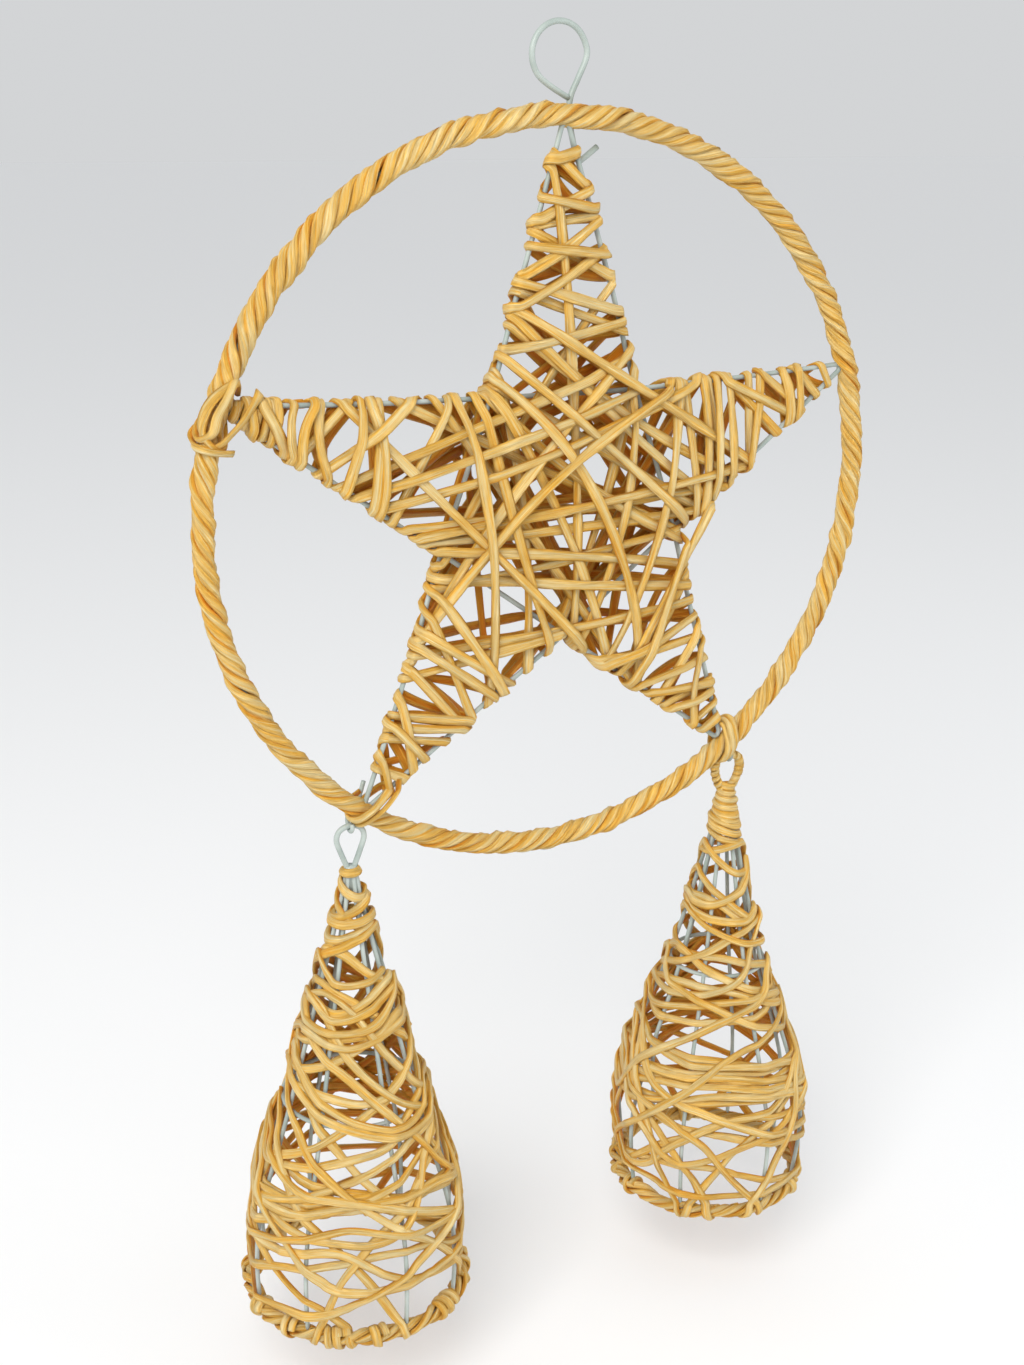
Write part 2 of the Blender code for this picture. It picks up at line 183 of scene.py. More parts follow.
def cord_finish():
    cord = Finish("honey_cord", {"Specular IOR Level": 0.35})
    maths = cord.maths
    along = cord.node("SeparateXYZ", {0: cord.node("TexCoord").outputs["UV"]}).outputs
    turn = maths('MULTIPLY', along["Y"], 2.0 * math.pi)

    def round_noise(per_metre, across, detail, roughness):
        """Noise that is stretched along the cord and closes round it."""
        place = cord.node("CombineXYZ", {
            0: maths('MULTIPLY', along["X"], per_metre),
            1: maths('MULTIPLY', maths('COSINE', turn), across),
            2: maths('MULTIPLY', maths('SINE', turn), across)})
        return cord.noise(place.outputs[0], 1.0, detail, roughness)

    tone = round_noise(9.0, 0.15, 2.0, 0.5)
    folds = round_noise(28.0, 1.5, 3.0, 0.55)
    fibres = round_noise(30.0, 11.0, 3.0, 0.65)
    outward = cord.node("Attribute", attribute_name="outward").outputs["Fac"]
    streaks = maths('ADD', maths('MULTIPLY', folds, 0.34), maths('MULTIPLY', fibres, 0.50))
    # Painted light and shade: faces that look out shift towards the pale end as a painted highlight, faces
    # that look into the pile shift towards the deep end as a painted shade.
    painted_light_shift = maths('MULTIPLY', maths('SUBTRACT', outward, 0.76), 0.18)
    blend = maths('ADD', painted_light_shift, maths('ADD', maths('MULTIPLY', tone, 0.22), streaks))
    return cord.coat(cord.ramp(blend, (0.36, DEEP_HONEY_AND_SHADE), (0.64, PALE_HONEY_AND_HIGHLIGHT), (0.50, HONEY)),
                     maths('ADD', maths('MULTIPLY', fibres, 0.30), 0.28),
                     maths('ADD', folds, fibres), 1.0, 0.0016)

honey_cord = cord_finish()

# %% [markdown]
# The wire is dipped in a grey-green paint. It is even and softly glossy, with
# slight clouds in the colour and faint runs, so Object coordinates are enough.

# %% Wire finish
DARK_PAINT, LIGHT_PAINT = (0.270, 0.325, 0.298), (0.43, 0.485, 0.455)

def wire_finish():
    paint = Finish("grey_green_paint", {
        "Specular IOR Level": 0.45, "Coat Weight": 0.15, "Coat Roughness": 0.25})
    place = paint.node("TexCoord").outputs["Object"]
    clouds, grain = paint.noise(place, 60.0, 4.0), paint.noise(place, 900.0, 2.0)
    gloss = paint.node("MapRange", {"Value": clouds, "To Min": 0.34, "To Max": 0.52}).outputs[0]
    return paint.coat(paint.ramp(clouds, (0.32, DARK_PAINT), (0.66, LIGHT_PAINT)), gloss, grain, 0.25, 0.0002)

grey_paint = wire_finish()

# %% [markdown]
# ## Routes
# Wire and cord are both long thin tubes, and a tube follows a route: a row
# of places close together. The routes below go smoothly through a few listed
# places, most of them given from the middle of the hoop.

# %% Routes
CENTRE = np.array((0.0, -0.0070, -0.2312))
SPAN_SAMPLES = 24

def unit(v):
    return v / np.maximum(np.linalg.norm(v, axis=-1, keepdims=True), 1e-12)

def columns(*values):
    """Numbers, or rows of numbers, side by side: one place in each row."""
    return np.stack(np.broadcast_arrays(*values), axis=-1)

def distances(points):
    """How far along its route each point lies."""
    return np.concatenate(([0.0], np.cumsum(np.linalg.norm(np.diff(points, axis=0), axis=1))))

def sampled(at, far, rows):
    """Reads a table whose rows lie at the distances far off at others."""
    return np.stack([np.interp(at, far, rows[:, k]) for k in range(rows.shape[1])], axis=1)

def evenly(points, step):
    far = distances(points)
    count = max(int(round(far[-1] / step)), 2)
    return sampled(np.linspace(0.0, far[-1], count + 1), far, points)

def smooth_route(points, step):
    """A smooth curve through given points, sampled evenly."""
    p = np.asarray(points, float)
    p = np.vstack((2 * p[0] - p[1], p, 2 * p[-1] - p[-2]))
    out = []
    for a, b, c, d in zip(p[:-3], p[1:-2], p[2:-1], p[3:]):
        t = np.linspace(0.0, 1.0, SPAN_SAMPLES, endpoint=False)[:, None]
        out.append(0.5 * (2 * b + (c - a) * t + (2 * a - 5 * b + 4 * c - d) * t ** 2
                          + (3 * b - a - 3 * c + d) * t ** 3))
    return evenly(np.vstack(out + [p[-2:-1]]), step)

print("the middle of the hoop:", CENTRE)

# %% [markdown]
# Handwork wavers where a machine's doesn't. Slow smooth noise along a route
# gives that, and always the same, because each draw has its own seed. Where
# a route has kinks, an average over its neighbours softens them.

# %% Waver and softness
def wander(places, step, seed):
    """Slow smooth noise between about -1 and 1 along a route."""
    rng = np.random.default_rng(seed)
    at = np.asarray(places) / step
    knots = rng.uniform(-1.0, 1.0, int(at.max()) + 3)
    low = np.floor(at).astype(int)
    t = at - low
    t = t * t * (3 - 2 * t)
    return knots[low] * (1 - t) + knots[low + 1] * t

def soften(values, width, closed=False):
    """Averages each row with its neighbours; width is in rows."""
    reach = int(math.ceil(3 * width))
    bell = np.exp(-0.5 * (np.arange(-reach, reach + 1) / width) ** 2)
    bell /= bell.sum()
    if closed:
        long = np.take(values, np.arange(-reach, len(values) + reach), axis=0, mode='wrap')
    else:
        long = np.pad(values, ((reach, reach), (0, 0)), mode='reflect', reflect_type='odd')
    return np.stack([np.convolve(long[:, k], bell, mode='valid') for k in range(values.shape[1])], axis=1)

print("a waver:", wander(np.arange(5), 2.0, 1).round(2))

# %% [markdown]
# ## Rolling a strip into a cord
# A tube could be a curve with a bevel, but a flat cord has to turn its flat
# side to whatever it lies on, and its UVs have to keep the true length. So
# each tube starts as a flat grid: one direction of the grid runs along the
# route, the other is rolled round it. The long seam is then merged and the
# two ends are filled. Where the route is straight few rows are enough, and
# where it bends they stand closer.

# %% Rows along a route
def carried_normals(route, first):
    """Normals carried along a route without twist."""
    along = unit(np.gradient(route, axis=0))
    normal = unit(np.asarray(first, float) - np.dot(first, along[0]) * along[0])
    out = [normal]
    for t in along[1:]:
        normal = normal - np.dot(normal, t) * t
        normal = normal / np.linalg.norm(normal)
        out.append(normal)
    return np.array(out)

def thin_out(route, normals, spacing, turning):
    """Keeps a row of samples where the route bends and drops them where it is straight."""
    steps = np.diff(route, axis=0)
    along = unit(steps)
    bend = np.zeros(len(route))
    bend[1:-1] = np.arccos(np.clip((along[1:] * along[:-1]).sum(axis=1), -1, 1))
    cost = np.linalg.norm(steps, axis=1) / spacing + 0.5 * (bend[1:] + bend[:-1]) / turning
    total = np.concatenate(([0.0], np.cumsum(cost)))
    at = np.linspace(0.0, total[-1], max(int(math.ceil(total[-1])), 2) + 1)
    return sampled(at, total, route), sampled(at, total, normals), np.interp(at, total, distances(route))

around = np.linspace(0.0, 2 * math.pi, 600, endpoint=False)
circle = columns(np.cos(around), np.sin(around), 0.0)
print("a full turn takes", len(thin_out(circle, circle, spacing=10.0, turning=0.2)[2]), "rows")

# %% [markdown]
# The section is an oval whose width and thickness waver a little and which
# has three soft folds that creep round it, as twisted paper has. A share of
# unevenness of 0 gives a plain round wire.

# %% Uneven rings
SEAM_FADE, FOLD_TWIST = 0.004, 40.0

def uneven_rings(place, normal, far, angle, width, thickness, closed, ragged, seed):
    """The places round the route, row by row; where a tube closes the unevenness fades."""
    along = np.gradient(place, axis=0)
    if closed:
        along[0] = along[-1] = along[0] + along[-1]
    along = unit(along)
    normal = unit(normal - (normal * along).sum(axis=1, keepdims=True) * along)
    across = np.cross(along, normal)
    fade = np.minimum(1.0, np.minimum(far, far[-1] - far) / SEAM_FADE) if closed else np.ones(len(place))
    slow, quick = wander(far, 0.018, seed), wander(far, 0.011, seed + 1)
    wide = 0.5 * width * (1 + ragged * fade * slow)
    thick = 0.5 * thickness * (1 - ragged * fade * slow + 0.5 * ragged * fade * quick)
    fold = 1 + (0.9 * ragged) * fade[:, None] * np.cos(3 * angle[None, :] + FOLD_TWIST * far[:, None] + seed)
    return (place[:, None, :]
            + (wide[:, None] * np.cos(angle) * fold)[..., None] * across[:, None, :]
            + (thick[:, None] * np.sin(angle) * fold)[..., None] * normal[:, None, :])

print("the folds creep once round in", round(1000 * 6 * math.pi / FOLD_TWIST), "mm")

# %% [markdown]
# Rolling moves each vertex of the grid to its place in the rings. Its place
# in the grid gives its UV, and its side gives the attribute "outward".

# %% Rolling
def rolled(bm, route, normals, width, thickness, sides, closed=False, spacing=0.003,
           turning=0.24, ragged=0.10, seed=1):
    """Rolls one grid into a tube along a route, in an open bmesh; returns its length."""
    if closed:
        route, normals = np.vstack((route, route[:1])), np.vstack((normals, normals[:1]))
    place, normal, far = thin_out(route, normals, spacing, turning)
    angle = np.linspace(0.0, 2 * math.pi, sides, endpoint=False)
    rings = uneven_rings(place, normal, far, angle, width, thickness, closed, ragged, seed)
    last, start = len(place) - 1, 0.37 * seed
    uv = bm.loops.layers.uv.verify()
    outward = bm.verts.layers.float.get("outward") or bm.verts.layers.float.new("outward")
    grid = bmesh.ops.create_grid(bm, x_segments=last, y_segments=sides, size=1.0)["verts"]
    spot = {v: (round((v.co.x + 1) * 0.5 * last), round((v.co.y + 1) * 0.5 * sides)) for v in grid}
    for v, (i, j) in spot.items():
        v.co = rings[i, j % sides]
        # outward is 1 where the tube faces out and 0 where it faces in; the cord finish paints a highlight and
        # a shade from it.
        v[outward] = 0.5 + 0.5 * math.sin(angle[j % sides])
    for face in {face for v in grid for face in v.link_faces}:
        face.smooth = True
        for corner in face.loops:
            i, j = spot[corner.vert]
            corner[uv].uv = (start + far[i], j / sides)
    seam = [v for v, (i, j) in spot.items() if j in (0, sides) or (closed and i in (0, last))]
    bmesh.ops.remove_doubles(bm, verts=seam, dist=1e-6)
    return far[-1]

# %% [markdown]
# A finished piece has its open ends closed and its faces turned outwards. It
# rides on the only body, and its slot tells which of the two finishes it has.
# A piece may hold many tubes, as a bell's cage does, or a single wire.

# %% Finishing a piece
FINISHES = {"painted_wire": grey_paint, "wound_cord": honey_cord}

def finished(bm, name, node_names, slot):
    rims = [e for e in bm.edges if e.is_boundary]
    if rims:
        bmesh.ops.holes_fill(bm, edges=rims, sides=0)
    bmesh.ops.recalc_face_normals(bm, faces=bm.faces)
    mesh = bpy.data.meshes.new(name)
    bm.to_mesh(mesh)
    bm.free()
    mesh.materials.append(FINISHES[slot])
    piece = bpy.data.objects.new(name, mesh)
    bpy.context.collection.objects.link(piece)
    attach(piece, "root")
    if node_names:
        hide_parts(*node_names)
    print(f"{name}: {sum(len(p.vertices) - 2 for p in mesh.polygons)} triangles")

def wire_tube(bm, route, radius, first=(0.0, 1.0, 0.0), closed=False, sides=14, spacing=0.003):
    rolled(bm, route, carried_normals(route, first), 2 * radius, 2 * radius, sides, closed, spacing,
           turning=0.20, ragged=0.0)

def wire_piece(name, node_name, route, radius, **settings):
    """One wire that is a piece of its own."""
    bm = bmesh.new()
    wire_tube(bm, route, radius, **settings)
    finished(bm, name, [node_name], "painted_wire")

def cord_piece(name, node_names, wind, *args, **settings):
    """One piece of cord; wind adds it to a bmesh and tells how long it is."""
    bm = bmesh.new()
    used = wind(bm, *args, **settings)
    finished(bm, name, node_names, "wound_cord")
    print(f"{name}: {used:.2f} m of cord")

# %% [markdown]
# ## The wires
# One straightened wire makes the hoop, a second is bent into the star in a
# single line, and each bell is a cage of eight ribs on two rings. They carry
# the whole load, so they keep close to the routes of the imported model, but
# round and smooth instead of faceted. A few were bent again to suit the real
# ones better: the ribs bulge up to 4 mm more above the rim, both rims sit
# 5 mm higher, the right bell hangs 2.5 mm higher and the star's lower right
# point is 3 mm shorter.

# %% Hoop wire
HOOP_RADIUS, HOOP_WIRE = 0.190, 0.0016
wire_piece("hoop_wire_round", "hoop_wire",
           CENTRE + HOOP_RADIUS * columns(np.cos(around), 0 * around, np.sin(around)), HOOP_WIRE,
           closed=True, spacing=0.004)

# %% [markdown]
# The hanger is a ring of wire, pinched at its foot. One end crosses it there
# and the other runs down behind the hoop and turns up in a short stub. It is
# flat, so its route is drawn in one upright plane just behind the hoop.

# %% Hanger
HANGER_PLANE, HANGER_WIRE = 0.0070, 0.0015
RING_RADIUS, RING_HEIGHT = 0.0151, 0.2176
ring_turn = np.radians(np.linspace(220.0, -24.0, 60))[::6]
hanger = [(0.0056, 0.1975), (0.0022, 0.1991), (-0.0060, 0.2036)]
hanger += list(zip(RING_RADIUS * np.cos(ring_turn), RING_HEIGHT + RING_RADIUS * np.sin(ring_turn)))
hanger += [(0.0103, 0.2060), (0.0070, 0.1990), (0.0058, 0.1915), (0.0070, 0.1835),
           (0.0102, 0.1718), (0.0118, 0.1680), (0.0145, 0.1690), (0.0224, 0.1747)]
wire_piece("hanger_round", "hanger_ring",
           smooth_route([(x, HANGER_PLANE, z) for x, z in hanger], 0.0008) + CENTRE, HANGER_WIRE)

# %% [markdown]
# The star wire is bent in one line from point to point: top, lower right,
# left, right, lower left and back to the top. Its long sides are a little
# bowed, and where two sides cross one of them steps in front of the other.
# Each bend is drawn with two shoulders and a crest, so that it stays tight.

# %% Star wire
STAR_WIRE, STAR_BEND = 0.0013, 0.0022
HALF_POINT = math.radians(18.0)
POINTS = {"top": (90.0, 0.1860), "lower right": (-53.5, 0.1828), "left": (161.5, 0.1860),
          "right": (18.4, 0.1860), "lower left": (-125.5, 0.1860)}
SIDE_BOWS = (-0.0020, 0.0005, 0.0060, -0.0030, 0.0035)
STEP_ASIDE, BETWEEN_CROSSINGS = 0.0019, 0.236
tips = [(np.array((math.cos(math.radians(turn)), math.sin(math.radians(turn)))), reach)
        for turn, reach in POINTS.values()]
corners = [ray * (reach - STAR_BEND + STAR_BEND / math.sin(HALF_POINT)) for ray, reach in tips]

def side_place(side, f):
    """A point of one long side, f going from 0 to 1 between its corners: x, y, z."""
    a, b = corners[side], corners[(side + 1) % 5]
    inward = np.array((-(b - a)[1], (b - a)[0]))
    inward = inward / np.linalg.norm(inward)
    if np.dot(inward, a + b) > 0:
        inward = -inward
    flat = a + (b - a) * f + inward * SIDE_BOWS[side] * 4 * f * (1 - f)
    near = abs(0.5 - f) < BETWEEN_CROSSINGS
    step = STEP_ASIDE * math.sin(math.pi * (0.5 - f) / BETWEEN_CROSSINGS) if near else 0.0
    return np.array((flat[0], step, flat[1]))

star_line = []
for side in range(5):
    length = np.linalg.norm(corners[side] - corners[(side + 1) % 5])
    cut = (STAR_BEND / math.tan(HALF_POINT)) / length
    star_line += [side_place(side, f) for f in np.linspace(cut, 1 - cut, 90)]
    ray, reach = tips[(side + 1) % 5]
    ray = np.array((ray[0], 0.0, ray[1]))
    heart, crest = ray * (reach - STAR_BEND), ray * reach
    before, after = [heart + unit(unit(end - heart) + unit(crest - heart)) * STAR_BEND
                     for end in (star_line[-1], side_place((side + 1) % 5, cut))]
    star_line += [before, crest, after]
wire_piece("star_wire_round", "star_frame",
           evenly(np.array(star_line + star_line[:1]), 0.0006)[:-1] + CENTRE, STAR_WIRE,
           closed=True, spacing=0.004)

# %% [markdown]
# A bell cage has eight ribs that leave a tight bunch at the neck and widen
# in a slow curve down to the bottom ring; a smaller ring ties them halfway.
# Above the neck the wire goes on into an upright eye that hangs on a hook.
# A rib is given as a few pairs of how far below the neck and how wide.

# %% Bell shapes
NECK, BELL_DROP = -0.1850, 0.2480
RIB_WIRE, EYE_WIRE, RIB_BUNCH = 0.0012, 0.0015, 0.0022
RIB_TURNS = np.array([45.0 * k + 4.0 * (-1) ** k for k in range(8)])
BELLS = {
    "left": dict(x=-0.1175, facing=-22.0, middle=0.132, lift=0.0, eye=0.0236,
                 eye_half=0.0077, eye_foot=0.0024, eye_waist=0.70,
                 ribs=[(0, .0022), (.030, .0092), (.132, .0385), (.186, .0555), (.218, .0600), (.253, .0588)]),
    "right": dict(x=0.1170, facing=-35.0, middle=0.106, lift=0.0025, eye=0.0222,
                  eye_half=0.0084, eye_foot=0.0030, eye_waist=0.84,
                  ribs=[(0, .0022), (.015, .0050), (.030, .0082), (.106, .0276), (.169, .0495),
                        (.205, .0575), (.253, .0535)]),
}
for name, bell in BELLS.items():
    bell["profile"] = smooth_route([(d, r, 0.0) for d, r in bell["ribs"]], 0.001)
    bell["centre"] = CENTRE + np.array((bell["x"], 0.0, NECK + bell["lift"]))
    print("the", name, "bell hangs at", bell["centre"])

def rib_radius(bell, drop):
    return np.interp(drop, bell["profile"][:, 0], bell["profile"][:, 1])

def eye_route(bell, legs=()):
    """The bent wire above a neck, from one side over the top to the other."""
    h, H = bell["eye_half"], bell["eye"]
    foot, waist = bell["eye_foot"], bell["eye_waist"]
    side = list(legs) + [(foot, 0.0012), (waist * h, 0.38 * H), (h, 0.70 * H), (0.74 * h, 0.915 * H)]
    eye = [(-x, z) for x, z in side] + [(0.0, H)] + [(x, z) for x, z in side[::-1]]
    return smooth_route([(x, 0.0, z) for x, z in eye], 0.0004) + bell["centre"]

# %% [markdown]
# A bell hook is a short wire that comes down from behind the hoop and ends
# in a small open ring through the bell's eye. Both bells are alike but for
# their numbers, so one function makes the wires of either.

# %% Bell wires and hooks
def bell_wires(name, bell):
    bm = bmesh.new()
    centre = bell["centre"]
    for turn in np.radians(RIB_TURNS):
        drops = np.linspace(0.0015, BELL_DROP, 130)
        radii = np.maximum(rib_radius(bell, drops), RIB_BUNCH)
        wire_tube(bm, centre + columns(radii * math.cos(turn), radii * math.sin(turn), -drops), RIB_WIRE,
                  first=(math.sin(turn), -math.cos(turn), 0.0), sides=12, spacing=0.004)
    for drop in (bell["middle"], BELL_DROP):
        radius = rib_radius(bell, drop)
        wire_tube(bm, centre + columns(radius * np.cos(around), radius * np.sin(around), 0 * around - drop),
                  RIB_WIRE, first=(0.0, 0.0, 1.0), closed=True, sides=12)
    wire_tube(bm, eye_route(bell, [(0.0014, -0.0040)]), EYE_WIRE, spacing=0.002)
    bunch = evenly(centre + columns(0.0, 0.0, np.array((0.0012, -0.0060, -0.0125))), 0.0005)
    rolled(bm, bunch, np.tile((0.0, 1.0, 0.0), (len(bunch), 1)), 3 * RIB_BUNCH, 3 * RIB_BUNCH, 12)
    finished(bm, f"{name}_bell_wires", [f"{name}_bell_frame"], "painted_wire")

HOOK_RING, HOOK_BACK = 0.0031, 0.0067

def bell_hook(name, bell):
    x, sign = bell["x"], math.copysign(1.0, bell["x"])
    line = [(sign * 0.1068, HOOK_BACK, -0.1408), (sign * 0.1098, HOOK_BACK, -0.1495),
            (sign * 0.1150, HOOK_BACK, -0.1560), (sign * (abs(x) - 0.0005), 0.0047, -0.1590)]
    eye_top = NECK + bell["lift"] + bell["eye"]
    for turn in np.radians(np.arange(0.0, -211.0, -42.0)):
        line.append((x, HOOK_RING * math.cos(turn), eye_top + HOOK_RING * math.sin(turn)))
    wire_piece(f"{name}_hook_round", f"{name}_bell_hook", smooth_route(line, 0.0005) + CENTRE, RIB_WIRE,
               spacing=0.002)

for name, bell in BELLS.items():
    bell_wires(name, bell)
    bell_hook(name, bell)

# %% [markdown]
# ## The wound hoop
# Five turns of cord lie side by side round the hoop wire, like the strands
# of a rope. A helix with five starts gives that; slow noise in the spacing,
# in the height and in the width of each strand keeps it hand-made.

# %% Winding a ring
CORD_WIDE, CORD_THICK = 0.0052, 0.0024
PROUD = (0.6, -0.4, 0.2, -0.3, 0.4)  # how far each strand stands out, in shares of the unevenness

def wound_ring(bm, radius, wire, starts, turns, width, thickness, place, seed, uneven, tilt, lift=None):
    """Strands wound round a ring; place(angle, out, up) gives the point beside the ring's wire."""
    count = int(2 * math.pi * radius / 0.0009)
    at = np.linspace(0.0, 2 * math.pi, count, endpoint=False)
    share = np.minimum(1.0, np.minimum(at, 2 * math.pi - at) / 0.12)
    total = 0.0
    for k in range(starts):
        def waver(size, step, number):
            return size * share * wander(at * radius, step, seed + 10 * k + number)
        turn = 2 * math.pi * k / starts + turns * at + (waver(0.15, 0.045, 0) + waver(0.11, 0.017, 5))
        out = wire + 0.5 * thickness + (waver(uneven, 0.021, 2) + uneven * share * PROUD[k])
        if lift is not None:
            out = out + lift(at)
        line = place(at, out * np.cos(turn), out * np.sin(turn))
        normal = unit(line - place(at, 0 * at, 0 * at))
        along = unit(np.roll(line, -1, axis=0) - np.roll(line, 1, axis=0))
        roll = (tilt + waver(0.25, 0.030, 7))[:, None]
        normal = unit(normal * np.cos(roll) + np.cross(along, normal) * np.sin(roll))
        total += rolled(bm, line, normal, width, thickness, 8, True,
                        spacing=0.0026, turning=0.28, ragged=0.16, seed=seed + 3 * k)
    return total

# %% [markdown]
# The hoop's own rope goes 27 times round its wire. It is a little fatter at
# the upper left, where the winding could have been begun.

# %% Hoop winding
HOOP_STARTS, HOOP_TURNS = 5, 27

def beside_hoop(at, out, up):
    r = HOOP_RADIUS + out
    return CENTRE + columns(r * np.cos(at), -up, r * np.sin(at))

def thicker_stretch(at):
    return 0.0007 * np.exp(-((np.degrees(at) - 130.0) / 22.0) ** 2)

cord_piece("hoop_cord", ["hoop_winding"], wound_ring, HOOP_RADIUS, HOOP_WIRE, HOOP_STARTS, HOOP_TURNS,
           width=0.0055, thickness=0.0041, place=beside_hoop, seed=3, uneven=0.0006, tilt=0.34,
           lift=thicker_stretch)

# %% [markdown]
# ## The woven star
# The star is filled by winding one cord over its face, round an edge wire,
# across the back, round another edge, and so on. Every crossing adds a layer,
# so the middle swells. A flat pattern of cords would cut through itself, so
# each run is laid on top of those before it, in the order of the winding.
#
# Each edge of an arm has a letter, clockwise from the right edge of the top
# arm, and a place on it is given in hundredths from the inner corner (0) to
# the point (100).

# %% Edges of the arms
ARMS = {"top": "ja", "right": "bc", "lower right": "de", "lower left": "fg", "left": "hi"}
ARM_OF = {letter: arm for arm, letters in ARMS.items() for letter in letters}
EDGES = {}
for side, (first, second) in enumerate(("ad", "eh", "ib", "cf", "gj")):
    EDGES[first], EDGES[second] = (side, 0.382, 0.0), (side, 0.618, 1.0)

def edge_place(code):
    side, inner, outer = EDGES[code[0]]
    return side_place(side, inner + (outer - inner) * (float(code[1:]) / 100.0))

outline = []
for letter in "abcdefghij":
    shares = np.linspace(0, 100, 12)
    outline += [edge_place(f"{letter}{s}")[[0, 2]] for s in (shares if letter in "bdfhj" else shares[::-1])]
outline = np.array(outline)

def inside_star(points, slack=0.0):
    """Which of some points of the star's plane lie inside its outline."""
    a, b = outline, np.roll(outline, -1, axis=0)
    p = np.asarray(points)[:, None, :]
    crosses = ((a[:, 1] > p[..., 1]) != (b[:, 1] > p[..., 1]))
    rise = np.where(b[:, 1] == a[:, 1], 1e-12, b[:, 1] - a[:, 1])
    run = a[:, 0] + (p[..., 1] - a[:, 1]) * (b[:, 0] - a[:, 0]) / rise
    within = (crosses & (p[..., 0] < run)).sum(axis=1) % 2 == 1
    if slack:
        t = np.clip(((p - a) * (b - a)).sum(-1) / np.maximum(((b - a) ** 2).sum(-1), 1e-12), 0, 1)
        within |= np.linalg.norm(p - (a + t[..., None] * (b - a)), axis=-1).min(axis=1) < slack
    return within

print("the outline has", len(outline), "places; its heart is inside:", inside_star([(0.0, 0.0)])[0])

# %% [markdown]
# The runs of the front face, in the order in which they are laid. Each is
# a start, an end and, where its middle is pulled aside, how many millimetres.
# The long runs across the middle come first, then those of each arm.

# %% Front runs
FRONT_RUNS = []
for run in """
a38 g5 -4, j8 f18 6, a5 e2 4, b33 c28, j3 c15, i36 d4, i21 e45, h8 c16, g13 c5, c30 h18, j86 a71, j60 a62,
j58 a38, j37 a17, j61 a72, i52 h66, b52 c42, d20 e45, g70 f57, e63 d70, j83 e10 4, j25 c35 -6, j29 c20 -4,
j15 a22, i1 d8 -6, b22 c10, b31 c13 3, i14 h22, a9 h48, b0 e13 8, j1 e32 5, g8 d27, h12 c42, a12 g42 -12,
h3 d18 3, g38 d34, g47 e3, i4 f7 -3, b20 e27 8, h31 b30 -3, i57 e18, h40 b2, j31 c43, j14 c7, j6 e48 20,
b17 g33 -15, i12 f38 6,
j41 a61, j40 a25, j30 a50, j70 a64, j83 a86, j53 a47,
i42 h30, i45 h27 3, i28 h56, i64 h50 -3, i48 h43, i92 h93, i88 h88, i85 h85, i82 h80, i79 h76, i86 h69,
i73 h66 -3, i65 h63 -3, i90 h83,
b40 c59, b58 c40, b42 c30, b37 c20, b38 c70, b56 c73, b68 c64, b73 c82, b75 c68, b86 c88,
c20 e36, d50 e22, d41 e25, d44 e60, e43 d6, e45 d60, e52 d72, d81 e80, d52 e82 -4, d76 e66, d88 e87,
f46 g20, g33 f33, g28 f25, g42 f50, g61 f45, g66 f49, g53 f76, g64 f69, g82 f79, g76 f88, g12 f30
""".split(","):
    first, last, *pull = run.split()
    FRONT_RUNS.append((first, last, int(pull[0]) if pull else 0))
print("front runs:", len(FRONT_RUNS))

# %% [markdown]
# Each run ends in a wrap round an edge wire. A wrap has its place, the way
# along its edge and the way out of the star.

# %% Wraps round the edges
wraps = []
for code in [code for run in FRONT_RUNS for code in run[:2]]:
    side, inner, outer = EDGES[code[0]]
    here = edge_place(code)
    way = unit((side_place(side, outer) - side_place(side, inner)) * (1, 0, 1))
    out = np.array((-way[2], 0.0, way[0]))
    if inside_star([(here + 0.003 * out)[[0, 2]]])[0]:
        out = -out
    wraps.append(dict(edge=code[0], share=float(code[1:]), place=here * (1, 0, 1), way=way, out=out,
                      lift=here[1]))
print("wraps round the edge wires:", len(wraps))

# %% [markdown]
# ### Laying a run
# A height map holds, for every square millimetre, how far the pile already
# stands out. The height a cord needs at each of its samples is the highest
# pile under its width plus half its own thickness, and laying it down raises
# the map by a rounded back. A simulation of soft cords could do the same, but
# slowly, and it never lies quite still. Both helpers serve the bells too.

# %% Piles of cord
SINK, HALF_THICK = 0.0006, 0.5 * CORD_THICK

def needed(heights, under, reach):
    """The height of a cord that lies on a pile; under(off) gives the cells beside its middle."""
    need = 0.0
    for off in np.linspace(-1.0, 1.0, 5) * reach:
        need = np.maximum(need, heights[under(off)])
    return need + HALF_THICK

def add_cord(heights, under, high, reach, layer, crown):
    """Adds a cord with a rounded back to the pile."""
    for off in np.linspace(-1.0, 1.0, 7) * reach:
        top = high + (layer - HALF_THICK) * math.sqrt(1 - (off / crown) ** 2)
        np.maximum.at(heights, under(off), top)

print("a cord may sink", round(1000 * SINK, 1), "mm into a pile")

# %% [markdown]
# The star's two maps, front and back, measure from its middle plane and start
# with the bare wires. A taut cord touches only the highest places under it,
# so its line is the upper hull of the heights that it needs.

# %% Height maps
CELL, HALF_MAP = 0.001, 0.200
MAP_SIZE = int(2 * HALF_MAP / CELL)

def cells(points):
    return np.clip(((points + HALF_MAP) / CELL).astype(int), 0, MAP_SIZE - 1)

def blank_map(sign):
    """The bare frame seen from one side; sign is -1 for the front and 1 for the back."""
    heights = np.zeros((MAP_SIZE, MAP_SIZE))
    for side in range(5):
        for f in np.linspace(0, 1, 900):
            p = side_place(side, f)
            for off in (-0.001, 0.0, 0.001):
                ix, iz = cells(np.array((p[0] + off, p[2] + off)))
                heights[ix, iz] = max(heights[ix, iz], STAR_WIRE + sign * p[1])
    return heights

def taut(far, needs):
    """Upper hull of the needed heights: where a tight cord would lie."""
    hull = []
    for x, y in zip(far, needs):
        while len(hull) > 1:
            (x0, y0), (x1, y1) = hull[-2:]
            if (y1 - y0) * (x - x0) > (y - y0) * (x1 - x0):
                break
            hull.pop()
        hull.append((x, y))
    hull = np.array(hull)
    return np.interp(far, hull[:, 0], hull[:, 1])

